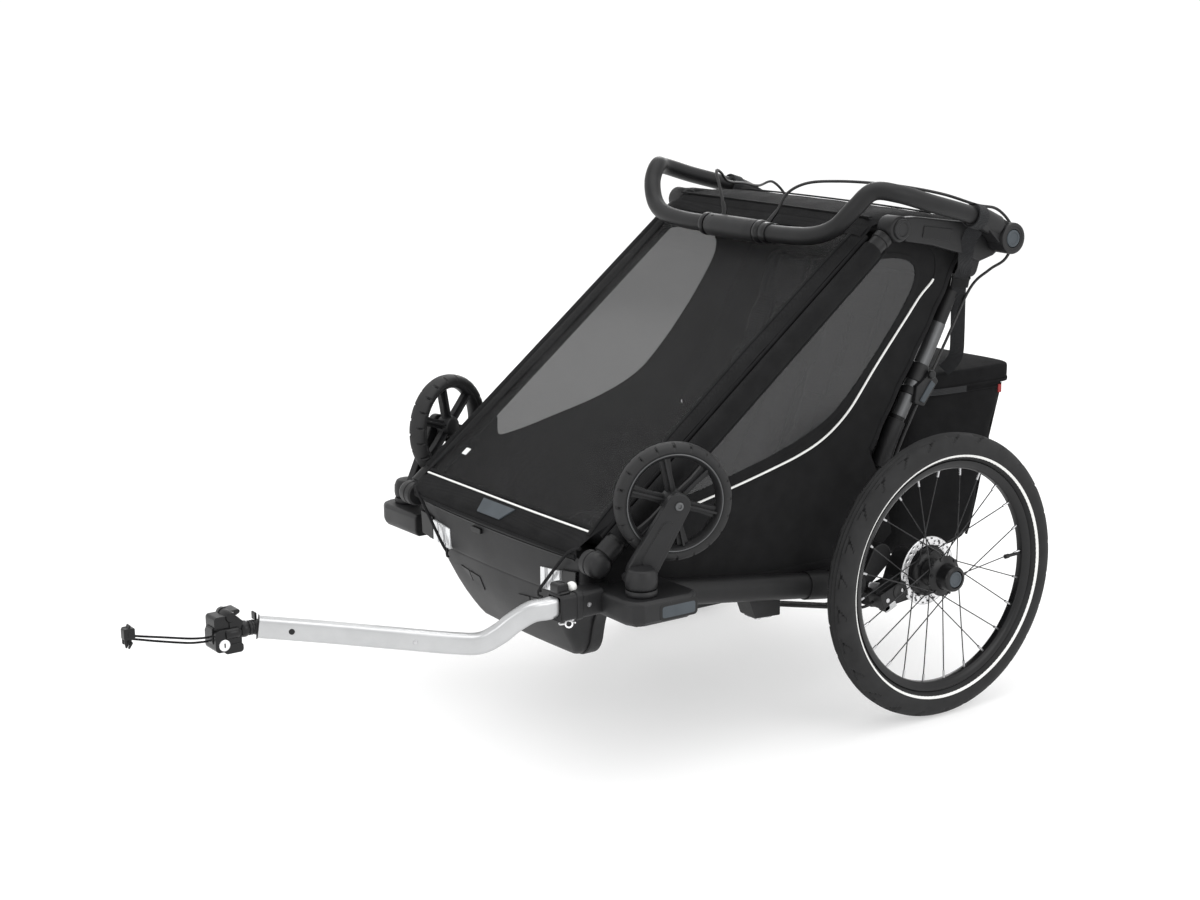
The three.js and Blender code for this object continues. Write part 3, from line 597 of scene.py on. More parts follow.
def suspension(side, k):
    body = f"suspension_{side}"
    axle = (0, WHEEL_R)
    blade = prism([(-279, 216), (-150, 187.5), (-50, 184.5), (-50, 190), (-150, 193), (-279, 221.5)], 239,
                  265)
    carrier = prism([(-98, 190)] + [(-60, 183), (18, 190), (28, 215), (22, 262)]
                    + arc((0, WHEEL_R), 27, 40, 140, 8) + [(-28, 255), (-40, 224), (-96, 212)], 262, 299)
    arm = joined(blade, carrier, lathe([(296, 0), (296, 19), (300, 21), (321, 18), (321, 0)],
                                       (0, 0, WHEEL_R)))
    put(mesh(f"leaf_and_carrier_{side}", *arm, PLASTIC, k, bevel=1.6), body, "black_plastic",
        f"suspension_arm_{side}")
    nuts = joined(*[lathe([(299, 0), (299, r), (end, r), (end, 0)], (0, y, z), segments=6)
                    for end, r, y, z in ((303, 8, -20, 205), (302, 7, 12, 200), (302, 6, -70, 198))])
    put(mesh(f"carrier_nut_{side}", *nuts, STEEL, k), body, "steel")
    # Caliper: two halves astride the disc, with a ribbed body, a cable arm and a hose-end bolt.
    pivot = (0, *axle)
    halves = joined(prism(rounded(60, 36, 9, (-82, WHEEL_R)), 301, 326.5),
                    prism(rounded(56, 32, 9, (-82, WHEEL_R)), 333.2, 335.2),
                    prism(rounded(14, 34, 4, (-106, WHEEL_R)), 322, 336))
    lever = prism(link((-78, WHEEL_R + 2), 9, (-104, WHEEL_R + 26), 5), 303, 307)
    knob = lathe([(335, 0), (335, 13), (335.8, 13.4), (336.4, 12.6), (336.4, 8), (335.8, 7), (335.8, 0)],
                 (0, -72, WHEEL_R + 2), segments=40)
    plate = prism(rounded(26, 11, 2, (-98, WHEEL_R - 14)), 333, 336)
    bolts = joined(*[lathe([(335, 0), (335, 4.5), (336.4, 4.5), (336.4, 0)], (0, y, WHEEL_R), segments=6)
                     for y in (-100, -64)])
    for name, part, material in ((f"caliper_body_{side}", halves, PLASTIC),
                                 (f"caliper_arm_{side}", lever, STEEL), (f"caliper_knob_{side}", knob, GLOSS),
                                 (f"caliper_plate_{side}", plate, SILVER),
                                 (f"caliper_bolts_{side}", bolts, STEEL)):
        obj = mesh(name, *turned(part, pivot, (1, 0, 0), 20.6), material, k, bevel=1.2)
        put(obj, body, "steel", *([f"brake_caliper_{side}"] if "body" in name else []))


def lower_frame():
    for side, k in SIDES:
        tube_line = [side_tube_at(-530), side_tube_at(-125)]
        parts = joined(
            sweep(tube_line, round_section(21.5, 40), steps=1),
            sweep([side_tube_at(-240), side_tube_at(-194)], round_section(23.8, 40), steps=1),
            sweep([side_tube_at(-150), side_tube_at(-123)], round_section(23, 40), steps=1),
            sweep([side_tube_at(-534), side_tube_at(-516)], round_section(22.6, 40), steps=1))
        put(mesh(f"side_rail_{side}", *parts, PAINT, k, bevel=1), "chassis", "frame_paint",
            f"side_tube_{side}")
        clamp = joined(prism([(-346, 242), (-333, 209), (-281.5, 206), (-281.5, 240), (-300, 262),
                              (-330, 268)],
                             238, 281),
                       prism([(-330, 206), (-292, 203.5), (-292, 209), (-330, 212)], 244, 274))
        put(mesh(f"spring_clamp_{side}", *clamp, PLASTIC, k, bevel=2.4), "chassis", "black_plastic")
        screws = joined(*[lathe([(0, 0), (0, 5.5), (3, 5.5), (3, 0)], (x, y, 206), (0, 0, -1), 6)
                          for x in (250, 268) for y in (-320, -298)])
        put(mesh(f"clamp_screws_{side}", *screws, STEEL, k), "chassis", "steel")

    y, z = CROSS
    bar = lathe([(-290, 0), (-290, 15), (290, 15), (290, 0)], (0, y, z), segments=40)
    knuckles = [prism(link((-111, 239), 12.5, CROSS, 22.3), a, b) for a, b in ((275, 301), (-301, -275))]
    put(mesh("lower_rear_frame", *joined(bar, *knuckles), PAINT, bevel=2), "chassis", "frame_paint",
        "rear_axle_frame")
    keep("floor_pan", PLASTIC, bevel=1)


# ------------------------------------------------------------------ bumper and nose
def plan_ring(half, front, rear, corner, z, bow=0.0, steps=8):
    """Points across the front of one level, from the left rear corner round to the right one."""
    left = [(half, rear, z), (half, (rear + front + corner) / 2, z)]
    for i in range(steps + 1):
        a = math.radians(90 * i / steps)
        left.append((half - corner + corner * math.cos(a), front + corner - corner * math.sin(a), z))
    flat = half - corner
    middle = [(x * flat, front - bow * (1 - x * x), z) for x in (0.8, 0.6, 0.4, 0.2, 0)]
    return left + middle + [(-x, y, z) for x, y, z in reversed(left + middle[:-1])]


def shell_between(rings):
    per = len(rings[0])
    return [p for r in rings for p in r], ring_faces(len(rings), per, closed=False, caps=False)


NOSE_REAR = -569


def nose():
    lip = 4
    band = [plan_ring(246, -649, -546, 16, 358, 9), plan_ring(252, -652, -546, 18, 360.5, 9),
            plan_ring(254, -655, -546, 18, 357, 9), plan_ring(253.5, -655, -546, 18, 350, 9),
            plan_ring(250, -655, -546, 18, 318, 9), plan_ring(247, -653, -546, 18, 292, 9),
            plan_ring(243, -651, -546, 18, 287, 9), plan_ring(207, -646, -546, 18, 287.5, 9)]
    put(mesh("front_bumper", *shell_between(band), PLASTIC, thick=lip, offset=-1, angle=30), "chassis",
        "black_plastic", "front_shell")
    rear = NOSE_REAR
    keel = [plan_ring(206, -652, rear, 22, 290, 8), plan_ring(203, -651, rear, 22, 282, 8),
            plan_ring(189, -645, rear, 22, 255, 8), plan_ring(174, -636, rear, 20, 228, 8),
            plan_ring(167, -624, rear, 18, 205, 7), plan_ring(162, -612, rear, 16, 186, 6),
            plan_ring(154, -603, rear, 13, 172, 5), plan_ring(143, -597, rear, 9, 163, 4),
            plan_ring(130, -592, rear, 6, 160, 3)]
    verts, faces = shell_between(keel)
    per = len(keel[0])
    faces.append(tuple(range(len(verts) - per, len(verts))))
    put(mesh("nose_shell", verts, faces, PLASTIC, thick=lip, offset=-1, angle=40), "chassis", "black_plastic")
    # U-shaped rear rim of the nose, thicker than its wall.
    edge = [(half, rear - 2, z) for half, z in ((204, 284), (190, 255), (175, 228), (168, 205), (163, 186),
                                                (154, 172), (141, 163.5), (126, 161))]
    edge += [(x, rear - 2, 160.5) for x in (90, 45, 0)]
    line = edge + [(-x, y, z) for x, y, z in reversed(edge[:-1])]
    put(mesh("nose_rim", *sweep(line, strap_section(7, 24), up=(0, 1, 0), steps=4), PLASTIC, bevel=2.4),
        "chassis", "black_plastic")

    def keel_front(x, z):
        half, front, bow = (float(np.interp(z, [163, 172, 186, 205, 228, 255, 282],
                                            [[143, 154, 162, 167, 174, 189, 203],
                                             [-597, -603, -612, -624, -636, -645, -651],
                                             [4, 5, 6, 7, 8, 8, 8]][i])) for i in range(3))
        return front - bow * (1 - min(1, abs(x) / half) ** 2)

    def laid_plate(name, outline, lift, material, k):
        outer = [(x, keel_front(x, z) - lift, z) for x, z in outline]
        inner = [(x, keel_front(x, z) + 1.5, z) for x, z in outline]
        put(mesh(name, outer + inner, ring_faces(2, len(outline)), material, k, bevel=0.5), "chassis",
            "black_plastic")

    # Parting line, centre catch, badge plate without lettering, reflectors and vents.
    seam = [(x, -664.4 + 9 * (x / 236) ** 2, 352) for x in range(-230, 231, 46)]
    put(mesh("bumper_seam", *sweep(seam, round_section(1.3, 8), steps=4), GLOSS), "chassis", "black_plastic")
    catch = prism(rounded(30, 9, 3, (-46, 343)), -668, -662, "y")
    put(mesh("bumper_catch", *catch, GLOSS, bevel=1.2), "chassis", "black_plastic")
    for side, k in SIDES:
        glass = [(141, 287), (141, 323), (196, 328), (196, 292)]
        put(mesh(f"front_reflector_{side}", *prism(glass, -662.2, -655, "y"), REFLECTOR, k, bevel=1),
            "chassis", "silver")
        ribs = joined(*[prism([(x, 288 + 0.09 * (x - 141)), (x + 1.6, 288 + 0.09 * (x - 141)),
                               (x + 1.6, 323 + 0.09 * (x - 141)), (x, 323 + 0.09 * (x - 141))],
                              -663.4, -661, "y") for x in (155, 160, 178)])
        put(mesh(f"reflector_ribs_{side}", *ribs, STEEL, k), "chassis", "steel")
        recess = [(200, 291), (200, 331), (240, 336), (237, 296)]
        put(mesh(f"bumper_recess_{side}", *prism(recess, -660.5, -655, "y"), GLOSS, k, bevel=1.5), "chassis",
            "black_plastic")
        # Vent drawn as a flat dark plate on the shell: painted shade for its opening.
        laid_plate(f"nose_vent_shade_{side}", [(124, 262), (96, 259), (93, 240)], 0.7, JACKET, k)
        laid_plate(f"nose_facet_{side}", [(93, 259), (60, 256), (57, 232), (89, 239)], 1.2, PLASTIC, k)
        cord = [(256, -662, 378), (236, -668, 370), (214, -669, 352), (180, -669, 319), (150, -668, 290),
                (143, -664, 283)]
        hook = tube([(145, -665, 288), (142, -668, 282), (142, -667, 276), (147, -662, 273)], 2.2, 10)
        hook = put(mesh(f"cover_hook_{side}", *hook, GLOSS, k), "chassis", "black_plastic")
        free_cord(f"cover_cord_{side}", cord, 2.6, CORD, "cable_jacket", "chassis", k)


# ------------------------------------------------------------------ front brackets and casters
def front_bracket(side, k):
    wing = [(262, -660), (366, -662), (384, -655), (394.5, -641), (394.5, -550), (380, -533), (262, -533)]
    low, high = 281, 320.5
    verts = [(x, y, z) for z, inset in ((low, 7), (low + 7, 1), (low + 12, 0), (high - 5, 0), (high, 4.5))
             for x, y in [(min(max(px, 262), 395 - inset) if px > 300 else px,
                           py + (inset if py < -600 else -inset)) for px, py in wing]]
    wing_part = verts, ring_faces(5, len(wing))
    parts = [wing_part]
    if k > 0:
        x, half = 290, 20.7
        socket = prism(rounded(2 * half, 2 * half, 7, (x, 306)), -733, -655, "y")
        parts.append(socket)
        parts.append(prism(rounded(2 * half + 4, 2 * half + 4, 8, (x, 306)), -706, -694, "y"))
        parts.append(prism([(-733, 325), (-733, 300), (-740, 286), (-728, 284), (-722, 300), (-722, 325)],
                           272, 308))
    put(mesh(f"bracket_body_{side}", *joined(*parts), PLASTIC, k, bevel=2.6, angle=30), "chassis",
        "black_plastic", f"front_bracket_{side}")
    key = prism(rounded(64, 20, 5, (-576, 299)), 388, 395.3)
    put(mesh(f"bracket_key_cap_{side}", *key, SLATE, k, bevel=2), f"bracket_key_{side}", "slate_plastic",
        f"bracket_button_{side}")
    frame_line = rounded(72, 27, 7, (-576, 299.5))
    frame_ring = prism(frame_line, 393.2, 395)
    put(mesh(f"bracket_key_frame_{side}", *frame_ring, GLOSS, k, bevel=0.7), "chassis", "black_plastic")
    if k > 0:
        screw = lathe([(0, 0), (0, 4), (1.6, 3.6), (1.6, 1.8), (0.4, 1.8), (0.4, 0)], (310.4, -684, 306))
        put(mesh("socket_screw", *screw, STEEL), "chassis", "steel")
        knob = joined(prism(rounded(20, 17, 5, (-723, 334)), 276, 300),
                      prism([(-733, 326), (-712, 326), (-714, 331), (-731, 331)], 274, 304))
        put(mesh("socket_latch", *knob, GLOSS, bevel=3), "chassis", "black_plastic")


CASTER_STEM = (356, -618.5)
CASTER_TURN = -20
CASTER_INSET, CASTER_TRAIL, CASTER_Z, CASTER_R = 42.5, 63, 452.3, 93.4


def caster_place(part):
    verts, faces = turned(part, (0, 0, 0), (0, 0, 1), CASTER_TURN)
    return [v + Vector((*CASTER_STEM, 0)) for v in verts], faces


def caster_tread(turn, side, lift):
    if lift < -0.1:
        return 0
    phase = (turn * CASTER_BLOCKS + (0.5 if side < 0 else 0)) % 1
    line = abs(abs(side) - 0.34) < 0.06
    return 2.4 if line or (phase < 0.12 and abs(side) > 0.3) else 0


def caster(side, k):
    x, y = CASTER_STEM
    stem = joined(lathe([(283, 0), (283, 11), (323, 11), (323, 0)], (x, y, 0), (0, 0, 1), 32),
                  lathe([(321.3, 0), (321.3, 24.5), (323, 25.2), (327.5, 25.2), (330, 23.6), (330, 0)],
                        (x, y, 0), (0, 0, 1), 56))
    put(mesh(f"caster_collar_{side}", *stem, PLASTIC, k), f"caster_plug_{side}", "black_plastic",
        f"caster_stem_{side}")

    body = f"caster_swivel_{side}"
    arm_in = -CASTER_INSET + 19
    arm_out = arm_in + 15
    base = lathe([(330.4, 0), (330.4, 23), (334, 24.6), (340, 25.4), (352, 25), (362, 21), (366, 0)],
                 (0, 0, 0), (0, 0, 1), 56)
    arm = prism(link((4, 352), 24, (CASTER_TRAIL, CASTER_Z), 19.5), arm_in, arm_out)
    heel = prism([(-24, 338), (25, 338), (29, 350), (14, 361), (-8, 358), (-25, 348)], arm_in - 3,
                 arm_out + 5)
    fork = mesh(f"caster_arm_{side}", *caster_place(joined(base, arm, heel)), PLASTIC, k, bevel=3.2)
    put(fork, body, "black_plastic", f"caster_fork_{side}")
    inner = [(17, 369), (45, 417)]
    panel = prism(link(inner[0], 13, inner[1], 11, 8), arm_out + 0.2, arm_out + 1.4)
    put(mesh(f"caster_arm_panel_{side}", *caster_place(panel), PLASTIC, k, bevel=0.8), body, "black_plastic")
    # Dark band round the panel: painted shade in the groove around it.
    groove = prism(link(inner[0], 14.4, inner[1], 12.4, 8), arm_out - 0.4, arm_out + 0.5)
    put(mesh(f"caster_arm_groove_shade_{side}", *caster_place(groove), JACKET, k), body, "black_plastic")
    bolt = joined(lathe([(arm_out, 0), (arm_out, 6.8), (arm_out + 2.4, 6.4), (arm_out + 2.8, 5.6),
                         (arm_out + 2.8, 3.4),
                         (arm_out + 0.8, 3.2), (arm_out + 0.8, 0)], (0, CASTER_TRAIL, CASTER_Z), segments=36),
                  lathe([(15.4, 0), (15.4, 5.8), (CASTER_INSET + arm_in, 5.8), (CASTER_INSET + arm_in, 0)],
                        (-CASTER_INSET, CASTER_TRAIL, CASTER_Z), segments=20))
    put(mesh(f"caster_bolt_{side}", *caster_place(bolt), GREY_METAL, k), body, "steel")

    roller = f"caster_roller_{side}"
    r, centre = CASTER_R, (-CASTER_INSET, CASTER_TRAIL, CASTER_Z)
    tyre = tyre_mesh(0, r - 9.8, 9.8, 1.72, 384, 28, caster_tread, 0)
    placed = [Vector(v) + Vector(centre) for v in tyre[0]], tyre[1]
    obj = put(mesh(f"caster_tread_{side}", *caster_place(placed), SMALL_RUBBER, k, angle=34), roller,
              "small_rubber", f"caster_tyre_{side}")
    paint_groove_shade(obj, tyre, 0, 0, r - 9.8, 9.8, 1.72)
    rim = [(-13.5, r - 19), (-13.5, r - 14.5), (-10.5, r - 13.5), (10.5, r - 13.5), (13.5, r - 14.5),
           (13.5, r - 19), (9, r - 23), (2, r - 24.5), (-2, r - 24.5), (-9, r - 23)]
    spokes = []
    for i in range(6):
        paddle = prism([(-8, 16), (8, 16), (7, 45), (9.5, r - 22), (-9.5, r - 22), (-7, 45)], -4.5, 4.5)
        rib = prism([(-2, 12), (2, 12), (2, r - 22), (-2, r - 22)], -11, 11)
        for part in (paddle, rib):
            spokes.append(turned(part, (0, 0, 0), (1, 0, 0), 60 * i + 12))
    nave = lathe([(-15, 0), (-15, 12), (-13, 17), (-6, 20), (6, 20), (13, 17), (15, 12), (15, 0)], (0, 0, 0),
                 segments=40)
    ring = lathe(rim, (0, 0, 0), segments=96, ring=True)
    verts, faces = joined(ring, nave, *spokes)
    verts = [Vector(v) + Vector(centre) for v in verts]
    put(mesh(f"caster_hub_{side}", *caster_place((verts, faces)), PLASTIC, k, bevel=0.9), roller,
        "black_plastic", f"caster_wheel_{side}")
    # Thin grey metal ring between tyre and rim: painted highlight on the rim's rounded lip.
    hoop = lathe([(13.3, r - 18.2), (14.5, r - 17.8), (14.8, r - 17), (14.5, r - 16.2), (13.3, r - 15.8)],
                 centre,
                 segments=96, ring=True)
    put(mesh(f"caster_rim_highlight_hoop_{side}", *caster_place(hoop), GREY_METAL, k), roller, "black_plastic")


# ------------------------------------------------------------------ cabin frame
def cage(side, k):
    end = FRONT_LENGTH - 22
    line = [(TUBE_X, *on_front(6, 0)), (TUBE_X, *on_front(end, 0))]
    parts = joined(sweep(line, round_section(15, 36), steps=1),
                   sweep([(TUBE_X, *on_front(18, 0)), (TUBE_X, *on_front(46, 0))], round_section(17.5, 36),
                         steps=1),
                   sweep([(TUBE_X, *on_front(end - 12, 0)), (TUBE_X, *on_front(end, 0))],
                         round_section(16.4, 36), steps=1))
    put(mesh(f"front_post_{side}", *parts, PAINT, k, bevel=1.2), "cage", "frame_paint", f"front_tube_{side}")
    drum = lathe([(262.5, 0), (262.5, 17), (265, 20), (276, 20.4), (277, 19), (279, 19), (280, 20.6),
                  (292, 20.6), (297, 18.5), (300, 14), (301.5, 7), (302, 0)], (0, *FOLD), segments=56)
    put(mesh(f"fold_drum_{side}", *drum, PLASTIC, k), "cage", "black_plastic")

    plate = ([(-62, 848), (-20, 847)] + [(40, 838), (100, 829), (140, 822), (166, 819)]
             + arc((160, 800), 26, 60, -60, 6) + [(158, 768), (126, 760), (86, 777), (16, 797), (-44, 808)])
    body = joined(prism(plate, 286, 305.5),
                  lathe([(269, 0), (269, 21), (303, 21.6), (306, 20), (306, 0)], (0, *BROW), segments=56),
                  lathe([(261.5, 0), (261.5, 24), (303, 25.4), (306, 24), (306, 0)], (0, *HANDLE),
                        segments=56),
                  prism(link(HANDLE, 20, STRUT_TOP, 15), 250.5, 263))
    put(mesh(f"top_corner_{side}", *body, PLASTIC, k, bevel=3), "cage", "black_plastic",
        f"top_bracket_{side}")
    cap = disc_cap(305.5, 311, 17, BROW, 2.5, 56, 1.6, 12)
    put(mesh(f"brow_cap_{side}", *cap, PLASTIC, k), "cage", "black_plastic")
    plaque = prism([(-8, 812), (56, 800), (60, 821), (-4, 831)], 305, 307)
    put(mesh(f"corner_plaque_{side}", *plaque, GLOSS, k, bevel=1.2), "cage", "black_plastic")
    pin = lathe([(225, 0), (225, 5.9), (256, 5.9), (256, 0)], (0, *STRUT_TOP), segments=24)
    put(mesh(f"strut_pin_{side}", *pin, STEEL, k), "cage", "steel")


def strut(side, k):
    x = 236
    line = [(x, *STRUT_TOP), (x, 112, 672), (x, 75, 603), (x, 37, 539), (x, -1, 474), (x, -17, 440),
            (x, -30, 407), (x, -41, 373), (x, -52, 345), (x, -60, 322), (x, -66, 306)]
    nose = lambda t: 1 if t < 0.95 else 1 - 0.55 * (t - 0.95) / 0.05
    tube_part = sweep(line, round_section(13, 32), up=(1, 0, 0), steps=6, fixed=False, taper=nose)
    eye = lathe([(x - 12.5, 0), (x - 12.5, 18), (x + 13, 18), (x + 13, 0)], (0, *STRUT_TOP), segments=40)
    put(mesh(f"rear_post_{side}", *joined(tube_part, eye), PAINT, k, bevel=1), "rear_frame", "frame_paint",
        f"rear_strut_{side}")
    # Grey inner tube and the latch that grips the post where it is hinged for folding.
    inner_tube = sweep([(x, 100, 649), (x, 75, 603), (x, 37, 539), (x, 12, 496)], round_section(13.6, 36),
                       up=(1, 0, 0), steps=4)
    put(mesh(f"post_grey_tube_{side}", *inner_tube, GREY_METAL, k), "rear_frame", "silver")
    latch = joined(prism([(70, 571), (84, 552), (52, 512), (30, 520), (34, 548)], x + 6, x + 22),
                   sweep([(x, 62, 581), (x, 46, 553)], round_section(16.2, 36), up=(1, 0, 0), steps=1),
                   sweep([(x, 40, 543), (x, 33, 531)], round_section(15.6, 36), up=(1, 0, 0), steps=1),
                   lathe([(x + 20, 0), (x + 20, 7), (x + 25, 8), (x + 28, 6), (x + 28, 0)], (0, 66, 566),
                         segments=28))
    put(mesh(f"post_latch_{side}", *latch, PLASTIC, k, bevel=2), "rear_frame", "black_plastic")
    grip = prism([(66, 556), (75, 548), (50, 518), (40, 523)], x + 21, x + 24.5)
    put(mesh(f"post_latch_grip_{side}", *grip, SLATE, k, bevel=1.4), "rear_frame", "slate_plastic")
    elbow = sweep([(x, 8, 490), (x, -3, 470), (x, -17, 440), (x, -28, 412)], round_section(16.4, 36),
                  up=(1, 0, 0),
                  steps=6)
    put(mesh(f"post_elbow_{side}", *elbow, PLASTIC, k, bevel=1.5), "rear_frame", "black_plastic")


# ------------------------------------------------------------------ handlebar
HUB_IN, HUB_END = 306.5, 345


def handlebar():
    half = [(325, 150, 817), (326, 118, 832), (327, 62, 850), (327, -7, 869), (319, -74, 889),
            (295, -108, 893), (278, -132, 867), (249, -147, 834), (206, -156, 817), (140, -159.5, 811.5),
            (70, *CROSSBAR)]
    line = half + [(-x, y, z) for x, y, z in reversed(half)]
    put(mesh("handlebar_tube", *tube(line, 15, 36, 10), PAINT), "handlebar_loop", "frame_paint", "handlebar")
    for side, k in SIDES:
        drum = lathe([(HUB_IN, 0), (HUB_IN, 24.5), (HUB_IN + 2, 26.3), (HUB_END - 3, 26.6),
                      (HUB_END - 0.8, 25.8),
                      (HUB_END, 24), (HUB_END, 20.5), (HUB_END - 1.2, 19.6), (HUB_END - 1.2, 16),
                      (HUB_END - 9, 15.6), (HUB_END - 9, 0)], (0, *HANDLE), segments=72)
        put(mesh(f"pivot_drum_{side}", *drum, PLASTIC, k), "handlebar_loop", "black_plastic")
        sleeve = joined(sweep([(326, 84, 844), (325.5, 112, 834.5), (325, 142, 821)], round_section(18.6, 36),
                              steps=4, fixed=False),
                        prism(link((128, 826), 16, HANDLE, 22), 309, 338))
        put(mesh(f"pivot_sleeve_{side}", *sleeve, PLASTIC, k, bevel=1.5), "handlebar_loop", "black_plastic")
        put(mesh(f"pivot_button_{side}", *disc_cap(HUB_END - 6, HUB_END - 0.2, 14.8, HANDLE, 2, 56, 1.2, 11),
                 SLATE, k), f"handle_key_{side}", "slate_plastic", f"handle_button_{side}")
        collar = lathe([(-11, 18.8), (-11, 20.8), (11, 20.8), (11, 18.8)], (325.8, 93, 840.8),
                       (0, 0.955, -0.3), 48,
                       ring=True)
        put(mesh(f"bag_strap_collar_{side}", *collar, WEBBING, k), "handlebar_loop", "shell_fabric")
        # End ring on each side of the grip.
        x = 74
        ring = lathe([(-5, 15.2), (-5, 19), (-3.5, 20), (4, 20), (6, 18.6), (8, 15.2)], (x, *CROSSBAR),
                     segments=56,
                     ring=True)
        put(mesh(f"grip_end_ring_{side}", *ring, GLOSS, k), "handlebar_loop", "black_plastic")
    # Cable outlet on the near side of the grip.
    outlet = joined(lathe([(0, 15.1), (0, 17), (1.5, 17.8), (14, 17.8), (16, 16.6), (16, 15.1)],
                          (83, *CROSSBAR),
                          segments=56, ring=True),
                    prism(rounded(11, 9, 2.5, (CROSSBAR[0] + 13.5, CROSSBAR[1] + 10)), 84.5, 97.5))
    put(mesh("cable_outlet", *outlet, GLOSS, bevel=0.6), "handlebar_loop", "black_plastic")
    sleeve = [(-66, 15.6), (-66, 18.4), (-64, 19.4), (-40, 19.6), (40, 19.6), (64, 19.4), (66, 18.4),
              (66, 15.6)]
    put(mesh("brake_sleeve", *lathe(sleeve, (0, *CROSSBAR), segments=64, ring=True), PLASTIC), "grip",
        "black_plastic", "brake_grip")
    dots = joined(*[lathe([(0, 0), (0, 2.6), (0.8, 2.2), (0.8, 0)], (x, CROSSBAR[0] - 8, CROSSBAR[1] + 17.6),
                          (0, -0.41, 0.91), 16) for x in (-52, 52)])
    put(mesh("brake_sleeve_dots", *dots, GLOSS), "grip", "black_plastic")


# ------------------------------------------------------------------ tow arm and hitch
ARM_PATH = [(290, -665, 306), (290, -700, 306), (290, -722, 306), (290, -738, 306), (289, -748, 305),
            (285, -772, 304), (273, -796, 289), (262, -815, 272), (247, -840, 258), (229, -876, 260),
            (190, -966, 276), (150, -1052, 291), (109, -1139, 305)]


def hitch():
    w, h, e = 12.5, 15.5, 6.5
    section = []
    for cx, cy, start in ((w - e, -h + e, -90), (w - e, h - e, 0), (-w + e, h - e, 90),
                          (-w + e, -h + e, 180)):
        section += arc((cx, cy), e, start, start + 90, 4)
    line = smooth_path(ARM_PATH, 8)
    put(mesh("tow_arm", *sweep(line, section, up=(0, 0, 1), steps=1, fixed=True), SILVER, angle=24),
        "chassis",
        "silver", "hitch_arm")
    along = (Vector(line[-1]) - Vector(line[-9])).normalized()
    across = along.cross((0, 0, 1)).normalized()
    # Plug and rivet along the arm.
    plug = lathe([(0, 0), (0, 4.6), (1.4, 4.2), (1.6, 0)], Vector(line[-5]) - across * 12.6, -across, 24)
    put(mesh("arm_plug", *plug, GLOSS), "chassis", "black_plastic")
    rivet = lathe([(0, 0), (0, 3.6), (1.2, 3), (1.8, 1.4), (1.9, 0)], Vector(line[-20]) - across * 12.5,
                  -across, 20)
    put(mesh("arm_rivet", *rivet, STEEL), "chassis", "steel")
    grown = [(q[0] * 1.1, q[1] * 1.09) for q in section]
    cuff = sweep([Vector(line[-1]) + along * 0.2, Vector(line[-1]) + along * 2.2], grown, steps=1)
    ear = prism(rounded(3.4, 12, 1.5, (-1141.8, 321)), 95, 107)
    put(mesh("arm_end_plate", *joined(cuff, ear), GLOSS, bevel=0.6), "coupler_roll", "black_plastic")

    low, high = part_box("hitch_pin")
    x, y = (low.x + high.x) / 2 / MM, ((low.y + high.y) / 2 - AXLE_Y) / MM
    top, foot = high.z / MM, low.z / MM
    shank = lathe([(foot, 0), (foot + 2, 3), (foot + 4, 3.9), (top - 12, 3.9), (top - 12, 0)], (x, y, 0),
                  (0, 0, 1), 28)
    ball = lathe([(top - 8.6 - 8.4 * math.cos(math.radians(a)), 8.4 * math.sin(math.radians(a)))
                  for a in range(0, 181, 10)], (x, y, 0), (0, 0, 1), 36)
    put(mesh("pin_shank", *shank, STEEL), "pin", "steel", "hitch_pin")
    put(mesh("pin_ball", *ball, PIPING), "pin", "silver")
    clip = joined(tube([(x + 14, y - 3, foot + 3), (x, y - 5, foot + 3), (x - 10, y - 8, foot + 2),
                        (x - 13, y - 14, foot - 1), (x - 6, y - 18, foot - 2), (x + 4, y - 16, foot + 1)],
                        1.3, 8),
                  lathe([(-1.1, 4.6), (-1.1, 6.8), (1.1, 6.8), (1.1, 4.6)], (x + 10, y - 12, foot + 2),
                        (0.5, -0.7, 0.3), 24, ring=True))
    put(mesh("pin_clip", *clip, DISC_STEEL), "pin", "steel")


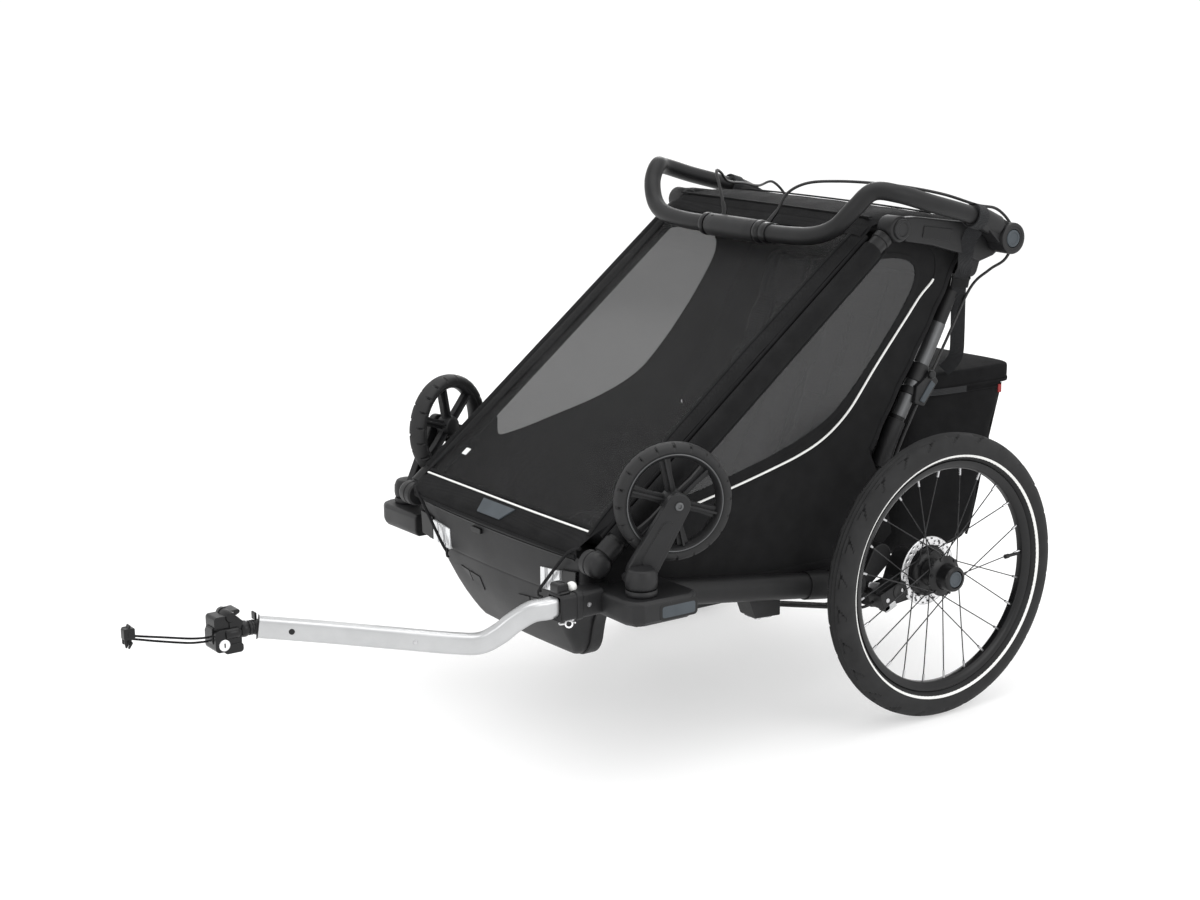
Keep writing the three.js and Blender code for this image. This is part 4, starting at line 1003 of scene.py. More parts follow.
def coupler():
    """Cup under the bicycle's axle nut, the ball in it, and the neck that turns in the arm's end."""
    x = 105
    neck = joined(sweep([(109, -1139.5, 305.1), (107, -1144, 305.8)], round_section(12, 36), steps=1),
                  sweep([(107.2, -1142.5, 305.6), (106.9, -1158.5, 306)], round_section(10.4, 36), steps=1))
    put(mesh("turning_neck", *neck, GLOSS, bevel=0.8), "coupler_roll", "black_plastic", "coupler_neck")
    ribs = joined(*[lathe([(-0.9, 0), (-0.9, 11.2), (0.9, 11.2), (0.9, 0)], (107, -1146.5 - 4 * i, 305.8),
                          (0.02, -1, 0.01), 32) for i in range(3)])
    put(mesh("neck_ribs", *ribs, PLASTIC, bevel=0.3), "coupler_roll", "black_plastic")
    ball = joined(lathe([(-12.6 * math.cos(math.radians(a)), 12.6 * math.sin(math.radians(a)))
                         for a in range(0, 181, 10)], (107, -1163, 306), (0, 1, 0), 40))
    put(mesh("hitch_ball", *ball, GLOSS), "coupler_yaw", "black_plastic", "coupler_ball")

    cup = joined(prism(rounded(42, 34, 7, (-1193.5, 298)), x - 20, x + 18),
                 prism(rounded(34, 22, 5, (-1196, 323)), x - 18, x + 13),
                 prism(rounded(30, 14, 5, (-1186, 284.5)), x - 14, x + 19.6),
                 prism([(-1172, 312), (-1168, 322), (-1178, 332), (-1190, 334), (-1190, 312)], x - 12,
                       x + 15),
                 lathe([(-22, 0), (-22, 7), (-19, 8.4), (14, 8.4), (17, 7), (17, 0)], (x - 1, -1187, 331),
                       segments=40),
                 lathe([(-12, 8), (-12, 9.4), (-10, 9.4), (-10, 8)], (x - 1, -1187, 331), segments=40,
                       ring=True),
                 prism(link((-1185, 333), 6, (-1173, 336), 3.6, 8), x - 18, x + 8),
                 lathe([(-1198, 0), (-1198, 8), (-1196, 9), (-1178, 9), (-1176, 8), (-1176, 0)],
                       (x + 13, 0, 307),
                       (0, 1, 0), 36),
                 prism(rounded(8, 26, 3, (-1212, 306)), x - 12, x + 10))
    put(mesh("coupler_cup", *cup, GLOSS, bevel=1.8), "coupler", "black_plastic", "axle_cup")
    lock = lathe([(-1, 0), (-1, 8.6), (1.2, 8.6), (1.8, 7.8), (1.8, 0)], (x + 18.4, -1201, 292), (1, 0, 0),
                 36)
    put(mesh("coupler_lock", *lock, DISC_STEEL), "coupler", "steel")
    # Dark plate on the lock's face: painted shade for its key slit.
    slit = prism(rounded(2, 7, 0.9, (-1201, 292), 3), x + 19, x + 20.6)
    put(mesh("coupler_lock_slit_shade", *slit, JACKET), "coupler", "black_plastic")


for side_name, side_sign in SIDES:
    side_wheel(side_name, side_sign)
    suspension(side_name, side_sign)
    front_bracket(side_name, side_sign)
    caster(side_name, side_sign)
    cage(side_name, side_sign)
    strut(side_name, side_sign)
lower_frame()
nose()
handlebar()
hitch()
coupler()


# ------------------------------------------------------------------ fabric panels
def resample(points, step, closed=False):
    p = [Vector(q) for q in points]
    p = p + [p[0]] if closed else p
    out = []
    for a, b in zip(p, p[1:]):
        n = max(1, round((b - a).length / step))
        out += [a.lerp(b, i / n) for i in range(n)]
    return out if closed else out + [p[-1]]


def soft_outline(points, steps=6):
    """Closed smooth line through the points."""
    p = [Vector(q).to_3d() for q in points]
    line = smooth_path(p[-2:] + p + p[:3], steps)
    return [(q.x, q.y) for q in line[2 * steps:(len(p) + 2) * steps]]


def inside(p, polygon):
    hit = False
    for (ax, ay), (bx, by) in zip(polygon, polygon[1:] + polygon[:1]):
        if (ay > p[1]) != (by > p[1]) and p[0] < (bx - ax) * (p[1] - ay) / (by - ay) + ax:
            hit = not hit
    return hit


def panel(name, outline, surface, step, material, regions=(), lines=(), side=1):
    """Triangulated sheet: outline in the sheet's own (a, b), surface(a, b) gives its place. regions are
    (polygon, material); lines are kept as edges."""
    points, edges = [], []

    def add(loop, closed):
        start = len(points)
        points.extend(loop)
        edges.extend((start + i, start + i + 1) for i in range(len(loop) - 1))
        if closed:
            edges.append((len(points) - 1, start))

    add(resample(outline, step, True), True)
    for polygon, _ in regions:
        add(resample(polygon, step, True), True)
    for line in lines:
        add(resample(line, step), False)
    fixed = np.array([tuple(p) for p in points])
    low, high = fixed.min(0), fixed.max(0)
    row = 0
    b = low[1] + step
    while b < high[1]:
        a = low[0] + step * (1 + 0.5 * (row % 2))
        while a < high[0]:
            if inside((a, b), [tuple(p) for p in outline]) and \
                    np.min(np.sum((fixed - (a, b)) ** 2, axis=1)) > (0.55 * step) ** 2:
                points.append(Vector((a, b)))
            a += step
        b += step * 0.866
        row += 1
    flat, _, faces, *_ = geometry.delaunay_2d_cdt([Vector(p) for p in points], edges, [], 1, 1e-4)
    verts = [surface(p.x, p.y) for p in flat]
    obj = mesh(name, verts, faces, material, side, angle=60)
    slots = [material]
    for _, other in regions:
        if other not in slots:
            obj.data.materials.append(other)
            slots.append(other)
    for face in obj.data.polygons:
        centre = np.mean([tuple(flat[i]) for i in face.vertices], axis=0)
        for polygon, other in regions:
            if inside(centre, [tuple(p) for p in polygon]):
                face.material_index = slots.index(other)
    return obj


def area_of(obj):
    work = bmesh.new()
    work.from_mesh(obj.data)
    total = sum(f.calc_area() for f in work.faces)
    work.free()
    return total


def declare_sheet(obj, flat):
    min(area_of(obj), flat[0] * flat[1])


def row(y, z):
    return Vector((0, y * MM + AXLE_Y, z * MM))


def follow_fold(obj):
    """Fabric between the lower frame and the folding cage; its transform is baked into its mesh."""
    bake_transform(obj)
    return obj


def laid_on(line, surface, lift):
    """A line in a sheet's own coordinates, lifted off the sheet."""
    out = []
    for a, b in line:
        p = Vector(surface(a, b))
        da, db = Vector(surface(a + 2, b)) - p, Vector(surface(a, b + 2)) - p
        out.append((p, da.cross(db).normalized() * lift))
    return out


def welt(name, line, surface, width, thick, lift, material, side=1, closed=False):
    """Flat band or bead sewn along a line of a sheet."""
    pairs = laid_on(line, surface, lift)
    verts = []
    n = len(pairs)
    for i, (p, up) in enumerate(pairs):
        a = pairs[(i - 1) % n][0] if closed or i else pairs[0][0]
        b = pairs[(i + 1) % n][0] if closed or i < n - 1 else pairs[-1][0]
        along = (b - a).normalized()
        normal = up.normalized()
        across = along.cross(normal)
        for s, t in ((-1, -1), (1, -1), (1, 0.4), (0.6, 1), (-0.6, 1), (-1, 0.4)):
            verts.append(p + up + across * (s * width / 2) + normal * (t * thick / 2))
    faces = ring_faces(n, 6, wrap=closed)
    return mesh(name, verts, faces, material, side, angle=60)


# ------------------------------------------------------------------ side panels
WINDOW_LINE = [(-478, 436), (-480, 468), (-474, 504), (-331, 621), (-150, 768), (-104, 781), (-50, 783),
               (-8, 774), (12, 758), (13, 730), (-10, 690), (-60, 626), (-125, 556), (-180, 513), (-263, 480),
               (-362, 455), (-440, 438)]
PIPING_LINE = [(2, 803), (30, 797), (52, 779), (60, 755), (54, 733), (22, 704), (-28, 647), (-75, 592),
               (-120, 537), (-156, 505), (-195, 482), (-240, 466), (-290, 454), (-374, 436), (-445, 422),
               (-520, 410), (-584, 396)]


def beside_front(y, z):
    """Distance of a point behind and below the front tubes' line."""
    return -((z - FOLD[1]) * (BROW[0] - FOLD[0]) - (y - FOLD[0]) * (BROW[1] - FOLD[1])) / FRONT_LENGTH


def side_surface(y, z):
    s = max(beside_front(y, z), 0)
    x = 262 + 23 * math.exp(-s / 110)
    low = max(0, 1 - (z - 270) / 150)
    above_hem = math.sin(math.pi * min(1, (z - 270) / 60 + 0.1))
    x += 1.6 * low * math.sin(y / 17 + 0.9 * math.sin(y / 41)) * above_hem
    rear = max(0, 1 - abs(y - 60 + 0.62 * (700 - z)) / 60)
    x += 1.4 * rear * math.sin(z / 13 + y / 23)
    x += 1.2 * math.sin(z / 47 + y / 90) * math.sin(y / 66 - z / 120)
    return x, y, z


def side_panel(side, k):
    outline = [on_front(-2, -10), (-604, 300), (-596, 276), (-400, 270), (-140, 268), (-60, 272), (-20, 300),
               (-38, 370), (-77, 452), (-29, 533), (25, 622), (80, 711), (112, 768), (128, 806), (60, 828),
               (-36, 834), (-60, 815), on_front(FRONT_LENGTH - 40, -12), on_front(FRONT_LENGTH / 2, -13),
               on_front(60, -12)]
    window = soft_outline(WINDOW_LINE, 3)
    obj = panel(f"side_fabric_{side}", outline, side_surface, 13, FABRIC, [(window, WINDOW)], side=k)
    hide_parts(f"side_panel_{side}")
    smooth = soft_outline(WINDOW_LINE, 6)
    parts = [welt(f"window_binding_{side}", smooth, side_surface, 9, 1.6, 0.7, FABRIC, k, closed=True)]
    piping = [(p.x, p.y) for p in smooth_path([(a, b, 0) for a, b in PIPING_LINE], 5)]
    cut = 4 * 5
    parts.append(welt(f"side_piping_{side}", piping[cut:], side_surface, 3.2, 2.6, 1.7, PIPING, k))
    parts.append(welt(f"side_seam_{side}", piping[:cut + 1], side_surface, 4, 2.2, 0.6, FABRIC, k))
    hem = [(-596, 280), (-500, 275), (-400, 273), (-270, 271), (-140, 271)]
    parts.append(welt(f"side_hem_{side}", resample(hem, 15), side_surface, 14, 2, 0.6, FABRIC, k))
    top = [(-20, 826), (60, 819), (124, 799)]
    parts.append(welt(f"side_top_seam_{side}", resample(top, 15), side_surface, 5, 2, 0.6, FABRIC, k))
    rear = [(118, 782), (80, 709), (25, 620), (-29, 531), (-75, 455)]
    parts.append(welt(f"side_rear_binding_{side}", resample(rear, 15), side_surface, 9, 2.4, 0.4, FABRIC, k))
    for part in parts:
        follow_fold(part)
    follow_fold(obj)
    declare_sheet(obj, (0.72, 0.58))


# ------------------------------------------------------------------ front cover, roof and back
def mesh_half(v):
    """Half width of the cover's see-through part at a distance up the front."""
    stops = [(30, 252), (60, 248), (160, 239), (350, 234), (560, 235), (700, 240), (760, 242)]
    return float(np.interp(v, [s[0] for s in stops], [s[1] for s in stops]))


def cover_surface(x, v):
    bow = 1 - min(1, abs(x) / 250) ** 2
    if v < 0:
        y, z = on_front(0, 25)
        y, z = y + 0.05 * v - 0.1 * v, z + v
        y += 1.5 * (1 - math.cos(min(1, -v / 12) * math.pi / 2))
    else:
        sag = 4.5 * bow * math.sin(math.pi * min(1, v / 745)) + 0.5 * math.sin(v / 31) * math.sin(x / 57)
        edge = max(0, abs(x) - 246)
        y, z = on_front(v, 25 - sag - 0.012 * edge ** 2)
    near_bumper = max(0, 1 - max(v, -20) / 90) ** 2
    y -= 5 * bow * min(1, near_bumper)
    return x, y, z


def front_cover():
    top = FRONT_LENGTH - 24
    rows = [30, 60, 110, 160, 230, 350, 460, 560, 640, 700, top - 22]
    see_through = [(-mesh_half(v), v) for v in rows] + [(mesh_half(v), v) for v in reversed(rows)]
    see_through[0], see_through[-1] = (-252, 39), (252, 39)
    outline = [(-250, -16), (250, -16), (258, 30), (267, 60), (267, top), (-267, top), (-267, 60), (-258, 30)]
    obj = panel("cover_sheet", outline, cover_surface, 14, FABRIC, [(see_through, MESH)])
    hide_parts("front_cover")
    parts = []
    for side, k in SIDES:
        line = resample([(mesh_half(v), v) for v in rows], 16)
        parts.append(welt(f"cover_binding_{side}", line, cover_surface, 7, 1.6, 0.8, FABRIC, k))
    for name, v, width, thick, material in (("cover_reflective_line", 36, 3.2, 1.4, PIPING),
                                            ("cover_flap_seam", 43, 5, 1.4, FABRIC),
                                            ("cover_hem", -13, 7, 3.4, FABRIC),
                                            ("cover_top_band", top - 12, 24, 1.8, FABRIC)):
        half = 247 if v < 50 else 262
        line = resample([(-half, v), (half, v)], 12)
        parts.append(welt(name, line, cover_surface, width, thick, 0.9, material))
    for name, outline, height, material, bevel in (
            ("cover_plate", [(-48, 28), (48, 28), (34, 2), (-34, 2)], 2.4, SLATE, 0.9),
            ("cover_tab", [(-206, 92), (-193, 92), (-193, 106), (-206, 106)], 1.2, PIPING, 0.5)):
        raised = [Vector(p) + up for p, up in laid_on(outline, cover_surface, height)]
        base = [Vector(p) + up for p, up in laid_on(outline, cover_surface, -0.5)]
        parts.append(mesh(name, raised + base, ring_faces(2, 4), material, bevel=bevel))
    for part in parts:
        put(part, "cage", "silver" if "reflective" in part.name or "tab" in part.name else "shell_fabric")
    put(obj, "cage", "shell_fabric")
    declare_sheet(obj, (0.56, 0.8))

    for side, k in SIDES:
        # Fabric sleeve over the tube, with the two beads that hold the cover and the side panel.
        line = [(TUBE_X, *on_front(v, 0)) for v in (52, 200, 380, 560, FRONT_LENGTH - 52)]
        sleeve = sweep(line, round_section(17.4, 40), steps=10, fixed=False)
        put(mesh(f"post_sleeve_{side}", *sleeve, FABRIC, k, angle=50), "cage", "shell_fabric")
        for label, x, above in (("inner", 268.5, 16), ("outer", 292, -15)):
            bead = [(x, *on_front(v, above)) for v in (40, 200, 380, 560, FRONT_LENGTH - 40)]
            put(mesh(f"post_bead_{label}_{side}", *tube(bead, 3.2, 12, 8), FABRIC, k), "cage", "shell_fabric")


ROOF_LINE = [(-96, 829), (-88, 838), (-76, 844), (-30, 848), (20, 845), (60, 840), (105, 833), (136, 825),
             (143, 816)]


def roof():
    line = smooth_path([(0, y, z) for y, z in ROOF_LINE], 4)
    half, cols = 266, 44
    verts = []
    for i, p in enumerate(line):
        t = i / (len(line) - 1)
        for j in range(cols + 1):
            u = 2 * j / cols - 1
            edge = max(0, abs(u) - 0.9) / 0.1
            crown = 3.5 * (1 - u * u) * math.sin(math.pi * t)
            ripple = 0.6 * math.sin(u * 23 + t * 4) * math.sin(math.pi * t)
            verts.append((half * u, p.y, p.z + crown + ripple - 9 * edge ** 2))
    faces = ring_faces(len(line), cols + 1, closed=False, caps=False)
    obj = put(mesh("roof_fabric", verts, faces, FABRIC, angle=60), "cage", "shell_fabric", "roof_panel")
    for name, y, z, width in (("roof_front_seam", -78, 846, 9), ("roof_cross_seam", 58, 843.4, 6)):
        seam = [(x, y, z + 3 * (1 - (x / half) ** 2) * (0.25 if y < 0 else 1)) for x in range(-256, 257, 32)]
        put(mesh(name, *sweep(seam, strap_section(width, 2.2), steps=3), FABRIC, angle=60),
                         "cage",
                         "shell_fabric")
    declare_sheet(obj, (0.54, 0.26))


BACK_ROWS = [(818, 138, 118), (790, 136, 118), (765, 128, 104), (711, 106, 77), (660, 85, 46), (622, 70, 22),
             (580, 52, -4), (533, 33, -32), (495, 18, -55), (455, 1, -79), (410, -18, -62), (360, -40, -50),
             (310, -62, -50)]


def back_fabric():
    """Back wall of the cabin: flat between the struts, side gussets run forward to the side panels."""
    verts, cols = [], 46
    line = smooth_path([(z, back, side) for z, back, side in BACK_ROWS], 4)
    for z, back, side in line:
        for j in range(cols + 1):
            u = 2 * j / cols - 1
            x = 259.5 * u
            t = max(0, (abs(x) - 196) / 63)
            wave = 1.6 * math.sin(x / 33) * math.sin(z / 41) * (1 - t)
            verts.append((x, back + (side - back) * (t * t * (3 - 2 * t)) + wave + 3 * (1 - u * u), z))
    faces = ring_faces(len(line), cols + 1, closed=False, caps=False)
    obj = mesh("back_fabric", verts, faces, FABRIC, angle=60)
    follow_fold(obj)
    for name, z0, y0 in (("back_upper_seam", 700, 108), ("back_lower_seam", 520, 33)):
        seam = [(x, y0 + 3 * (1 - (x / 260) ** 2), z0) for x in range(-190, 191, 38)]
        part = mesh(name, *sweep(seam, strap_section(3.6, 5), up=(0, 1, 0), steps=3), FABRIC, angle=60)
        follow_fold(part)
    declare_sheet(obj, (0.62, 0.58))


FLOOR_ROWS = [(-572.5, 166, 136, 166), (-572.5, 186, 158, 186), (-572.5, 228, 170, 228),
              (-572, 256, 184, 256), (-571, 270, 202, 270), (-564, 276, 256, 276), (-552, 262, 256, 274),
              (-536, 241, 256, 272), (-420, 239.5, 256, 271), (-300, 239, 256, 269), (-200, 239, 256, 268),
              (-110, 240, 256, 268), (-84, 246, 256, 270), (-66, 266, 256, 276), (-58, 328, 256, 328)]
FLOOR_COLS = (0, 0.13, 0.25, 0.38, 0.5, 0.6, 0.68, 0.75, 0.8, 0.84, 0.849, 0.875, 0.92, 1)


def cabin_floor():
    """Cloth floor: up the back of the foot well, over the pan and its kerbs, and out to the side panels."""
    cols, verts = [-u for u in reversed(FLOOR_COLS[1:])] + list(FLOOR_COLS), []
    for y, low, half, high in FLOOR_ROWS:
        for u in cols:
            over = abs(u) > 0.845 and half == 256
            z = high - 0.15 * (256 - abs(u) * half) if over else low
            verts.append((u * half, y, max(low, z) if over else low))
    faces = ring_faces(len(FLOOR_ROWS), len(cols), closed=False, caps=False)
    obj = put(mesh("cabin_floor", verts, faces, FABRIC, angle=60), "chassis", "shell_fabric")
    declare_sheet(obj, (0.56, 0.72))


# ------------------------------------------------------------------ seats
def swollen(obj, cap, pressure=4.0, voxel=5.0, frames=20):
    """Voxel remesh, then cloth under inner pressure, with how far a point may move capped."""
    scene = bpy.context.scene
    remesh = obj.modifiers.new("remesh", "REMESH")
    remesh.mode, remesh.voxel_size = "VOXEL", voxel * MM
    apply_all(obj)
    start = np.array([v.co for v in obj.data.vertices])
    cloth = obj.modifiers.new("cloth", "CLOTH")
    cloth.settings.use_pressure, cloth.settings.uniform_pressure_force = True, pressure
    cloth.settings.effector_weights.gravity = 0
    cloth.settings.tension_stiffness = cloth.settings.compression_stiffness = 18
    cloth.settings.bending_stiffness = 0.6
    cloth.point_cache.frame_start, cloth.point_cache.frame_end = 1, frames
    for frame_number in range(1, frames + 1):
        scene.frame_set(frame_number)
    apply_all(obj)
    scene.frame_set(1)
    end = np.array([v.co for v in obj.data.vertices])
    move = end - start
    far = np.linalg.norm(move, axis=1, keepdims=True)
    move *= np.minimum(1, cap * MM / np.maximum(far, 1e-9))
    obj.data.vertices.foreach_set("co", (start + move).ravel())
    return obj


def apply_all(obj):
    graph = bpy.context.evaluated_depsgraph_get()
    data = bpy.data.meshes.new_from_object(obj.evaluated_get(graph))
    old = obj.data
    obj.modifiers.clear()
    obj.data = data
    bpy.data.meshes.remove(old)


def press_channels(obj, depth, lines):
    """Sewn channels pressed into a pad: lines(point in millimetres) gives how near it is to one, 0 to 1."""
    for vertex, normal in zip(obj.data.vertices, [v.normal.copy() for v in obj.data.vertices]):
        p = (vertex.co.x / MM, (vertex.co.y - AXLE_Y) / MM, vertex.co.z / MM)
        vertex.co -= normal * (depth * MM * lines(p))


def pad_block(points, thick, corner=22):
    """Closed block over a rounded outline: points holds its span and a map (x, along, height) to a place."""
    x0, x1, v0, v1 = points["span"]
    outline = rounded(x1 - x0, v1 - v0, corner, ((x0 + x1) / 2, (v0 + v1) / 2), 6)
    verts = []
    for t, inset in ((0, 5), (0.3, 0), (0.7, 0), (1, 5)):
        for a, b in outline:
            a2 = (x0 + x1) / 2 + (a - (x0 + x1) / 2) * (1 - 2 * inset / (x1 - x0))
            b2 = (v0 + v1) / 2 + (b - (v0 + v1) / 2) * (1 - 2 * inset / (v1 - v0))
            verts.append(points["place"](a2, b2, t * thick))
    return verts, ring_faces(4, len(outline))


BACK_LINE = [(-44, 322), (-40, 360), (20, 500), (126, 760)]


def on_back(v, forward):
    """Point (y, z) at height z = v on the seat back, moved forward of it."""
    y = float(np.interp(v, [b[1] for b in BACK_LINE], [b[0] for b in BACK_LINE]))
    return y - 17 - forward * 0.93, v + forward * 0.37


def seats():
    def base_place(x, y, t):
        return x, y, 243 + t + 14 * max(0, (-260 - y) / 130)

    def back_place(x, v, t):
        return (x, *on_back(v, t))

    for name, span, place, thick, lines, body in (
            ("seat_cushion", (6, 205, -396, -116), base_place, 36,
             lambda p: max(math.exp(-((p[0] - x) / 4.5) ** 2) for x in (72, 139)) * (p[2] > 262), "chassis"),
            ("back_cushion", (6, 205, 330, 560), back_place, 24,
             lambda p: max(math.exp(-((p[2] - z) / 5) ** 2) for z in (395, 450, 505)), "chassis"),
            ("head_cushion", (12, 200, 572, 736), back_place, 20,
             lambda p: max(math.exp(-((p[0] - x) / 5) ** 2) for x in (62, 150)), "chassis")):
        block = pad_block({"span": span, "place": place}, thick)
        left = mesh(f"{name}_left", *block, SEAT_FABRIC, 1, angle=60)
        swollen(left, 9)
        press_channels(left, 4, lines)
        data = left.data.copy()
        flip = np.array([v.co for v in data.vertices])
        flip[:, 0] *= -1
        data.vertices.foreach_set("co", flip.ravel())
        data.flip_normals()
        right = bpy.data.objects.new(f"{name}_right", data)
        bpy.context.scene.collection.objects.link(right)
        for obj in (left, right):
            shade(obj.data, 60)
            if name == "seat_cushion":
                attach(obj, body)
            else:
                follow_fold(obj)
    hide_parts("seat_base")
    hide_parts("seat_back")

    for side, k in SIDES:
        for i, x in enumerate((72, 140)):
            strap = [(x, *on_back(700, 26)), (x, *on_back(600, 32)), (x, *on_back(480, 36)),
                     (106 + (x - 106) * 0.75, *on_back(400, 44)), (106 + (x - 106) * 0.4, -116, 330),
                     (106 + (x - 106) * 0.25, -150, 318)]
            strap = sweep(strap, strap_section(24, 2), up=(0, -0.93, 0.37), steps=8)
            follow_fold(mesh(f"harness_{i}_{side}", *strap, WEBBING, k, angle=50))
            pad = sweep([(x, *on_back(640, 33)), (x, *on_back(560, 37)), (x, *on_back(500, 38))],
                        [(s * 1.0, t) for s, t in rounded(46, 12, 5)], up=(0, -0.93, 0.37), steps=6)
            obj = mesh(f"shoulder_pad_{i}_{side}", *pad, SEAT_FABRIC, k, angle=50, bevel=2)
            follow_fold(obj)
        buckle = joined(prism(rounded(44, 40, 9, (106, -160)), 314, 326, "z"),
                        prism(rounded(22, 18, 5, (106, -160)), 325, 329, "z"))
        put(mesh(f"buckle_{side}", *buckle, GLOSS, k, bevel=2.5), "chassis", "black_plastic")
        crotch = sweep([(106, -196, 290), (106, -184, 306), (106, -172, 316)], strap_section(24, 2),
                       up=(0, -0.7, 0.7), steps=5)
        put(mesh(f"crotch_strap_{side}", *crotch, WEBBING, k, angle=50), "chassis", "seat_fabric")


# ------------------------------------------------------------------ cargo bag
BAG_HALF, BAG_TOP, BAG_LOW = 190, 541, 222
BAG_FRONT = [(222, 56), (240, 44), (252, 38), (400, 58), (541, 78)]
BAG_REAR = [(222, 238), (240, 252), (300, 268), (400, 290), (541, 328)]


def bag_ring(z, grow=0.0, fold=1.0):
    front = float(np.interp(z, [p[0] for p in BAG_FRONT], [p[1] for p in BAG_FRONT])) - grow
    rear = float(np.interp(z, [p[0] for p in BAG_REAR], [p[1] for p in BAG_REAR])) + grow
    share = (z - BAG_LOW) / (BAG_TOP - BAG_LOW)
    slack = fold * math.sin(math.pi * min(1, max(0, share))) ** 0.8
    half = BAG_HALF + grow - 5 * (1 - share) + 3 * slack
    ring = rounded(2 * half, rear - front, 30, (0, (front + rear) / 2), 8)
    ring = [tuple(p) for p in resample(ring, 12, True)]
    out = []
    for x, y in ring:
        cx, cy = x / half, (y - (front + rear) / 2) / ((rear - front) / 2)
        ripple = math.sin(z / 15 + 5 * cx + 3 * cy + math.sin(z / 37))
        crease = 2.6 * slack * ripple * (0.25 + abs(cx * cy) ** 1.5)
        swell = 5 * slack * (1 - min(1, abs(cx)) ** 4) * (1 if cy > 0 else -0.3)
        d = math.hypot(x, y - (front + rear) / 2)
        out.append((x + crease * x / d, y + crease * (y - (front + rear) / 2) / d + swell, z))
    return out


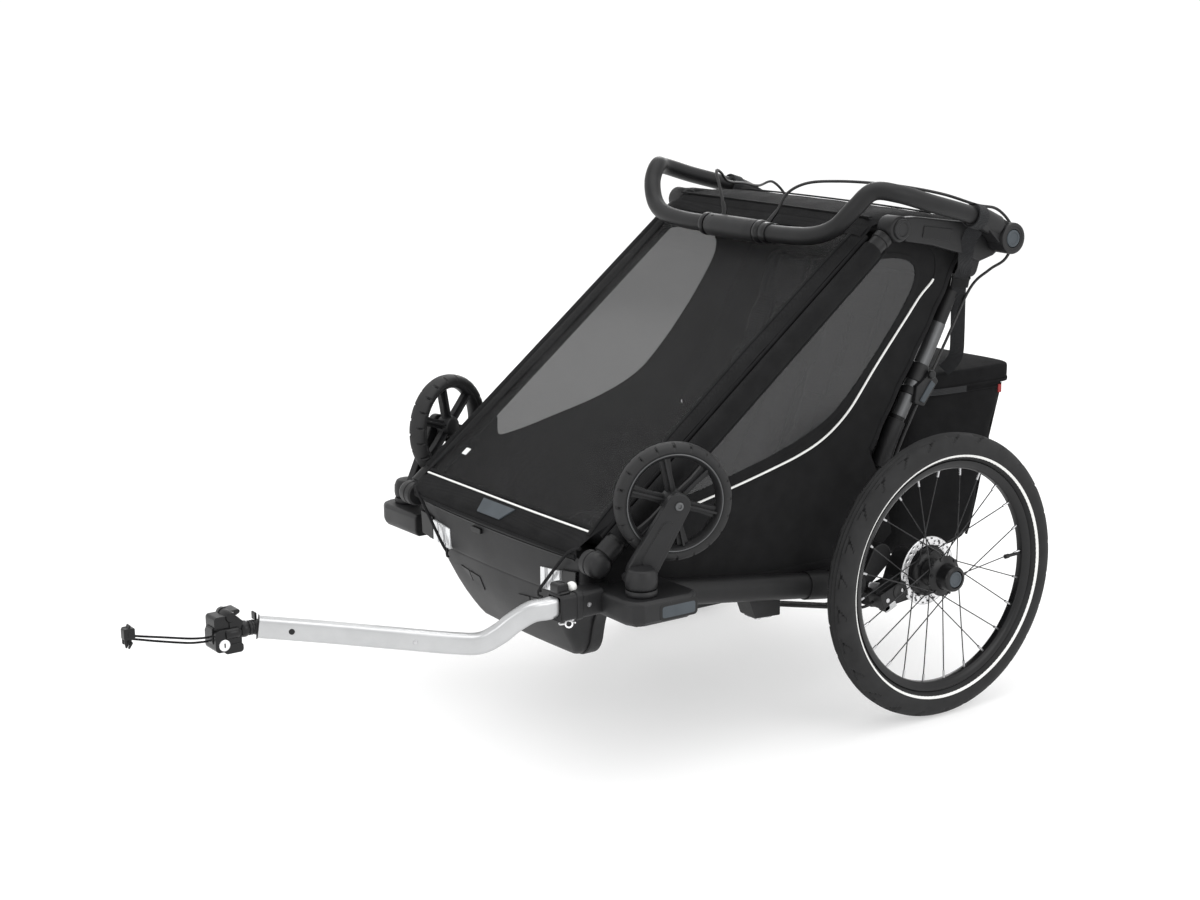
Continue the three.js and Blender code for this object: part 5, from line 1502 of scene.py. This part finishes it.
def cargo_bag():
    levels = [BAG_LOW + 1, BAG_LOW + 5, BAG_LOW + 12, BAG_LOW + 24]
    levels += list(np.linspace(BAG_LOW + 40, BAG_TOP - 4, 26)) + [BAG_TOP - 0.5]
    rings = []
    for i, z in enumerate(levels):
        tuck = max(0, 1 - (z - BAG_LOW) / 24)
        rings.append(bag_ring(z, -14 * tuck ** 2))
    n = min(len(r) for r in rings)
    fixed = []
    for r in rings:
        length = [0]
        for a, b in zip(r, r[1:] + r[:1]):
            length.append(length[-1] + math.dist(a, b))
        marks = np.linspace(0, length[-1], n, endpoint=False)
        closed = np.array(r + r[:1])
        fixed += [tuple(np.interp(m, length, closed[:, c]) for c in range(3)) for m in marks]
    verts, faces = fixed, ring_faces(len(levels), n, caps=False)
    middle = np.mean(np.array(verts[:n]), axis=0)
    inner = len(verts)
    for shrink, drop in ((0.7, 4.0), (0.35, 6.5)):
        lift = (0, 0, 0.2 * drop)
        verts += [tuple(middle + (np.array(v) - middle) * shrink + lift) for v in verts[:n]]
    faces += [(i, (i + 1) % n, inner + (i + 1) % n, inner + i) for i in range(n)]
    faces += [(inner + i, inner + (i + 1) % n, inner + n + (i + 1) % n, inner + n + i) for i in range(n)]
    faces.append(tuple(range(inner + n, inner + 2 * n)))
    obj = mesh("bag_shell", verts, faces, BAG_FABRIC, angle=60, thick=2.2, offset=-1)
    put(obj, "chassis", "shell_fabric", "cargo_bag")

    def loop_band(name, z0, z1, grow, material, slot, lean=0.0):
        low, high = bag_ring(z0, grow, 0), bag_ring(z1, grow + lean, 0)
        count = min(len(low), len(high))
        low, high = low[:count], high[:count]
        band = mesh(name, low + high, ring_faces(2, count, caps=False), material, angle=60, thick=2, offset=0)
        return put(band, "chassis", slot)

    loop_band("bag_rim_seam", BAG_TOP - 36, BAG_TOP - 32, 1, BAG_FABRIC, "shell_fabric")
    for side, k in SIDES:
        corner = []
        for z in np.linspace(BAG_LOW + 14, BAG_TOP - 30, 16):
            rear = float(np.interp(z, [p[0] for p in BAG_REAR], [p[1] for p in BAG_REAR]))
            corner.append((BAG_HALF - 9 - 5 * (1 - (z - BAG_LOW) / 319), rear - 7, z))
        put(mesh(f"bag_corner_seam_{side}", *tube(corner, 2.4, 8, 3), BAG_FABRIC, k), "chassis",
            "shell_fabric")
        tag = prism(rounded(8, 15, 1, (300, 503)), 190, 192.4)
        put(mesh(f"bag_tag_{side}", *tag, RED, k, bevel=0.4), "chassis", "shell_fabric")

        # Webbing that carries the bag from the handlebar's collar, over the top corner, with its slider.
        web = [(327, 94, 820), (318, 92, 808), (311, 90, 792), (306, 92, 772), (288, 108, 748),
               (261, 124, 721), (241, 142, 680), (225, 158, 625), (214, 167, 585), (206, 162, 566),
               (199, 152, 554)]
        obj = mesh(f"bag_carrier_{side}", *sweep(web, strap_section(25, 2), up=(0.8, -0.55, 0.2), steps=8),
                   WEBBING, k,
                   angle=50)
        follow_fold(obj)
        slider = joined(sweep([(266, 122, 729), (256, 128, 712)], rounded(31, 7, 2.5), up=(0.8, -0.55, 0.2),
                              steps=1),
                        sweep([(267.5, 121.5, 732), (266, 122, 729)], rounded(33, 9, 3), up=(0.8, -0.55, 0.2),
                              steps=1))
        follow_fold(mesh(f"bag_slider_{side}", *slider, GLOSS, k, bevel=1))
        hook = [(233, 52, 536), (222, 70, 529), (206, 96, 521), (196, 126, 516), (194.5, 170, 514),
                (194, 214, 513)]
        hook = mesh(f"bag_hook_strap_{side}", *sweep(hook, strap_section(11, 2), up=(0.8, 0.6, 0), steps=6),
                    WEBBING, k,
                    angle=50)
        follow_fold(hook)

    # Lid: a crowned cap with rounded edges and a skirt outside the bag's rim.
    front, rear, mid = 80, 330.6, 205
    rings, per = [], 88
    for lift, grow in ((514.5, 2.2), (518, 2.6), (528, 2.7), (538, 2.8), (542, 2.5), (545, 1.4), (547, -1),
                       (548, -4)):
        ring = resample(rounded(2 * (190 + grow), rear - front + grow - 2.6, 24, (0, mid + grow / 2), 8), 3,
                        True)
        length = [0]
        for a, b in zip(ring, ring[1:] + ring[:1]):
            length.append(length[-1] + (b - a).length)
        closed = np.array([tuple(q) for q in ring + ring[:1]])
        marks = np.linspace(0, length[-1], per, endpoint=False)
        rings.append([(float(np.interp(m, length, closed[:, 0])), float(np.interp(m, length, closed[:, 1])),
                       lift + 0.7 * math.sin(m / 37)) for m in marks])
    verts = [q for r in rings for q in r]
    for share, lift in ((0.8, 549.4), (0.55, 550.6), (0.28, 551.4)):
        verts += [(q[0] * share, mid + (q[1] - mid) * share,
                   lift + 0.5 * math.sin(q[0] * share / 19 + q[1] / 31))
                  for q in rings[-1]]
    faces = ring_faces(len(rings) + 3, per, caps=False)
    faces.append(tuple(range(len(verts) - per, len(verts))))
    lid = mesh("bag_lid_fabric", verts, faces, BAG_FABRIC, angle=70, thick=1.2, offset=-1)
    put(lid, "bag_lid", "shell_fabric", "cargo_bag_lid")
    hem = [(q[0] * 1.004, mid + (q[1] - mid) * 1.004, 516.5) for q in rings[0]] + \
          [(q[0] * 1.004, mid + (q[1] - mid) * 1.004, 521) for q in rings[0]]
    hem = put(mesh("bag_lid_hem", hem, ring_faces(2, per, caps=False), BAG_FABRIC, angle=70, thick=1,
                   offset=1),
              "bag_lid", "shell_fabric")
    declare_sheet(lid, (0.45, 0.32))


def cables():
    down = [(299, 168, 846), (300, 200, 820), (300, 210, 790), (296, 196, 758), (276, 178, 738),
            (256, 154, 706), (252, 106, 622), (252, 30, 498), (252, -12, 420), (252, -38, 350),
            (252, -66, 312), (252, -100, 296), (254, -112, 280), (261, -113, 262), (266, -114, 228),
            (280, -120, 206), (302, -130, 197), (313, -120, 200), (313, -106.4, 204.8)]
    over = {"left": [(74, -145, 826), (76, -128, 844), (82, -110, 874), (105, -85, 891), (155, -59, 896),
                     (215, -35, 896), (265, -4, 891), (296, 49, 878), (299, 121, 856)],
            "right": [(50, -143, 831), (56, -142, 850), (64, -143, 876), (82, -136, 901), (110, -104, 894),
                      (150, -57, 873), (220, 36, 858), (282, 121, 843)]}
    for side, k in SIDES:
        route = smooth_path(over[side] + down, 8)
        obj = mesh(f"brake_line_{side}", *tube(route, 2.5, 12, 1), JACKET, k)
        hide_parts(f"brake_cable_{side}")
        follow_fold(obj)
        start = [Vector(over[side][0]) + Vector((0, -9, -12)), Vector(over[side][0]), Vector(over[side][1])]
        boot = sweep(start, round_section(4.2, 14), steps=6, fixed=False, taper=lambda t: 1.3 - 0.5 * t)
        put(mesh(f"cable_boot_{side}", *boot, GLOSS, k), "handlebar_loop", "black_plastic")


for side_name, side_sign in SIDES:
    side_panel(side_name, side_sign)
front_cover()
roof()
back_fabric()
cabin_floor()
seats()
cargo_bag()
cables()


# A carried-over node that no piece stands for, and that has no finish of its own yet, gets the black plastic.
FINISHES = (PAINT, PLASTIC, GLOSS, SLATE, STEEL, SILVER)
for name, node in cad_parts.items():
    finished = any(m and m.use_nodes and m.name in bpy.data.materials and m in FINISHES
                   for m in node.data.materials)
    if not node.hide_render and not finished:
        keep(name, PLASTIC)
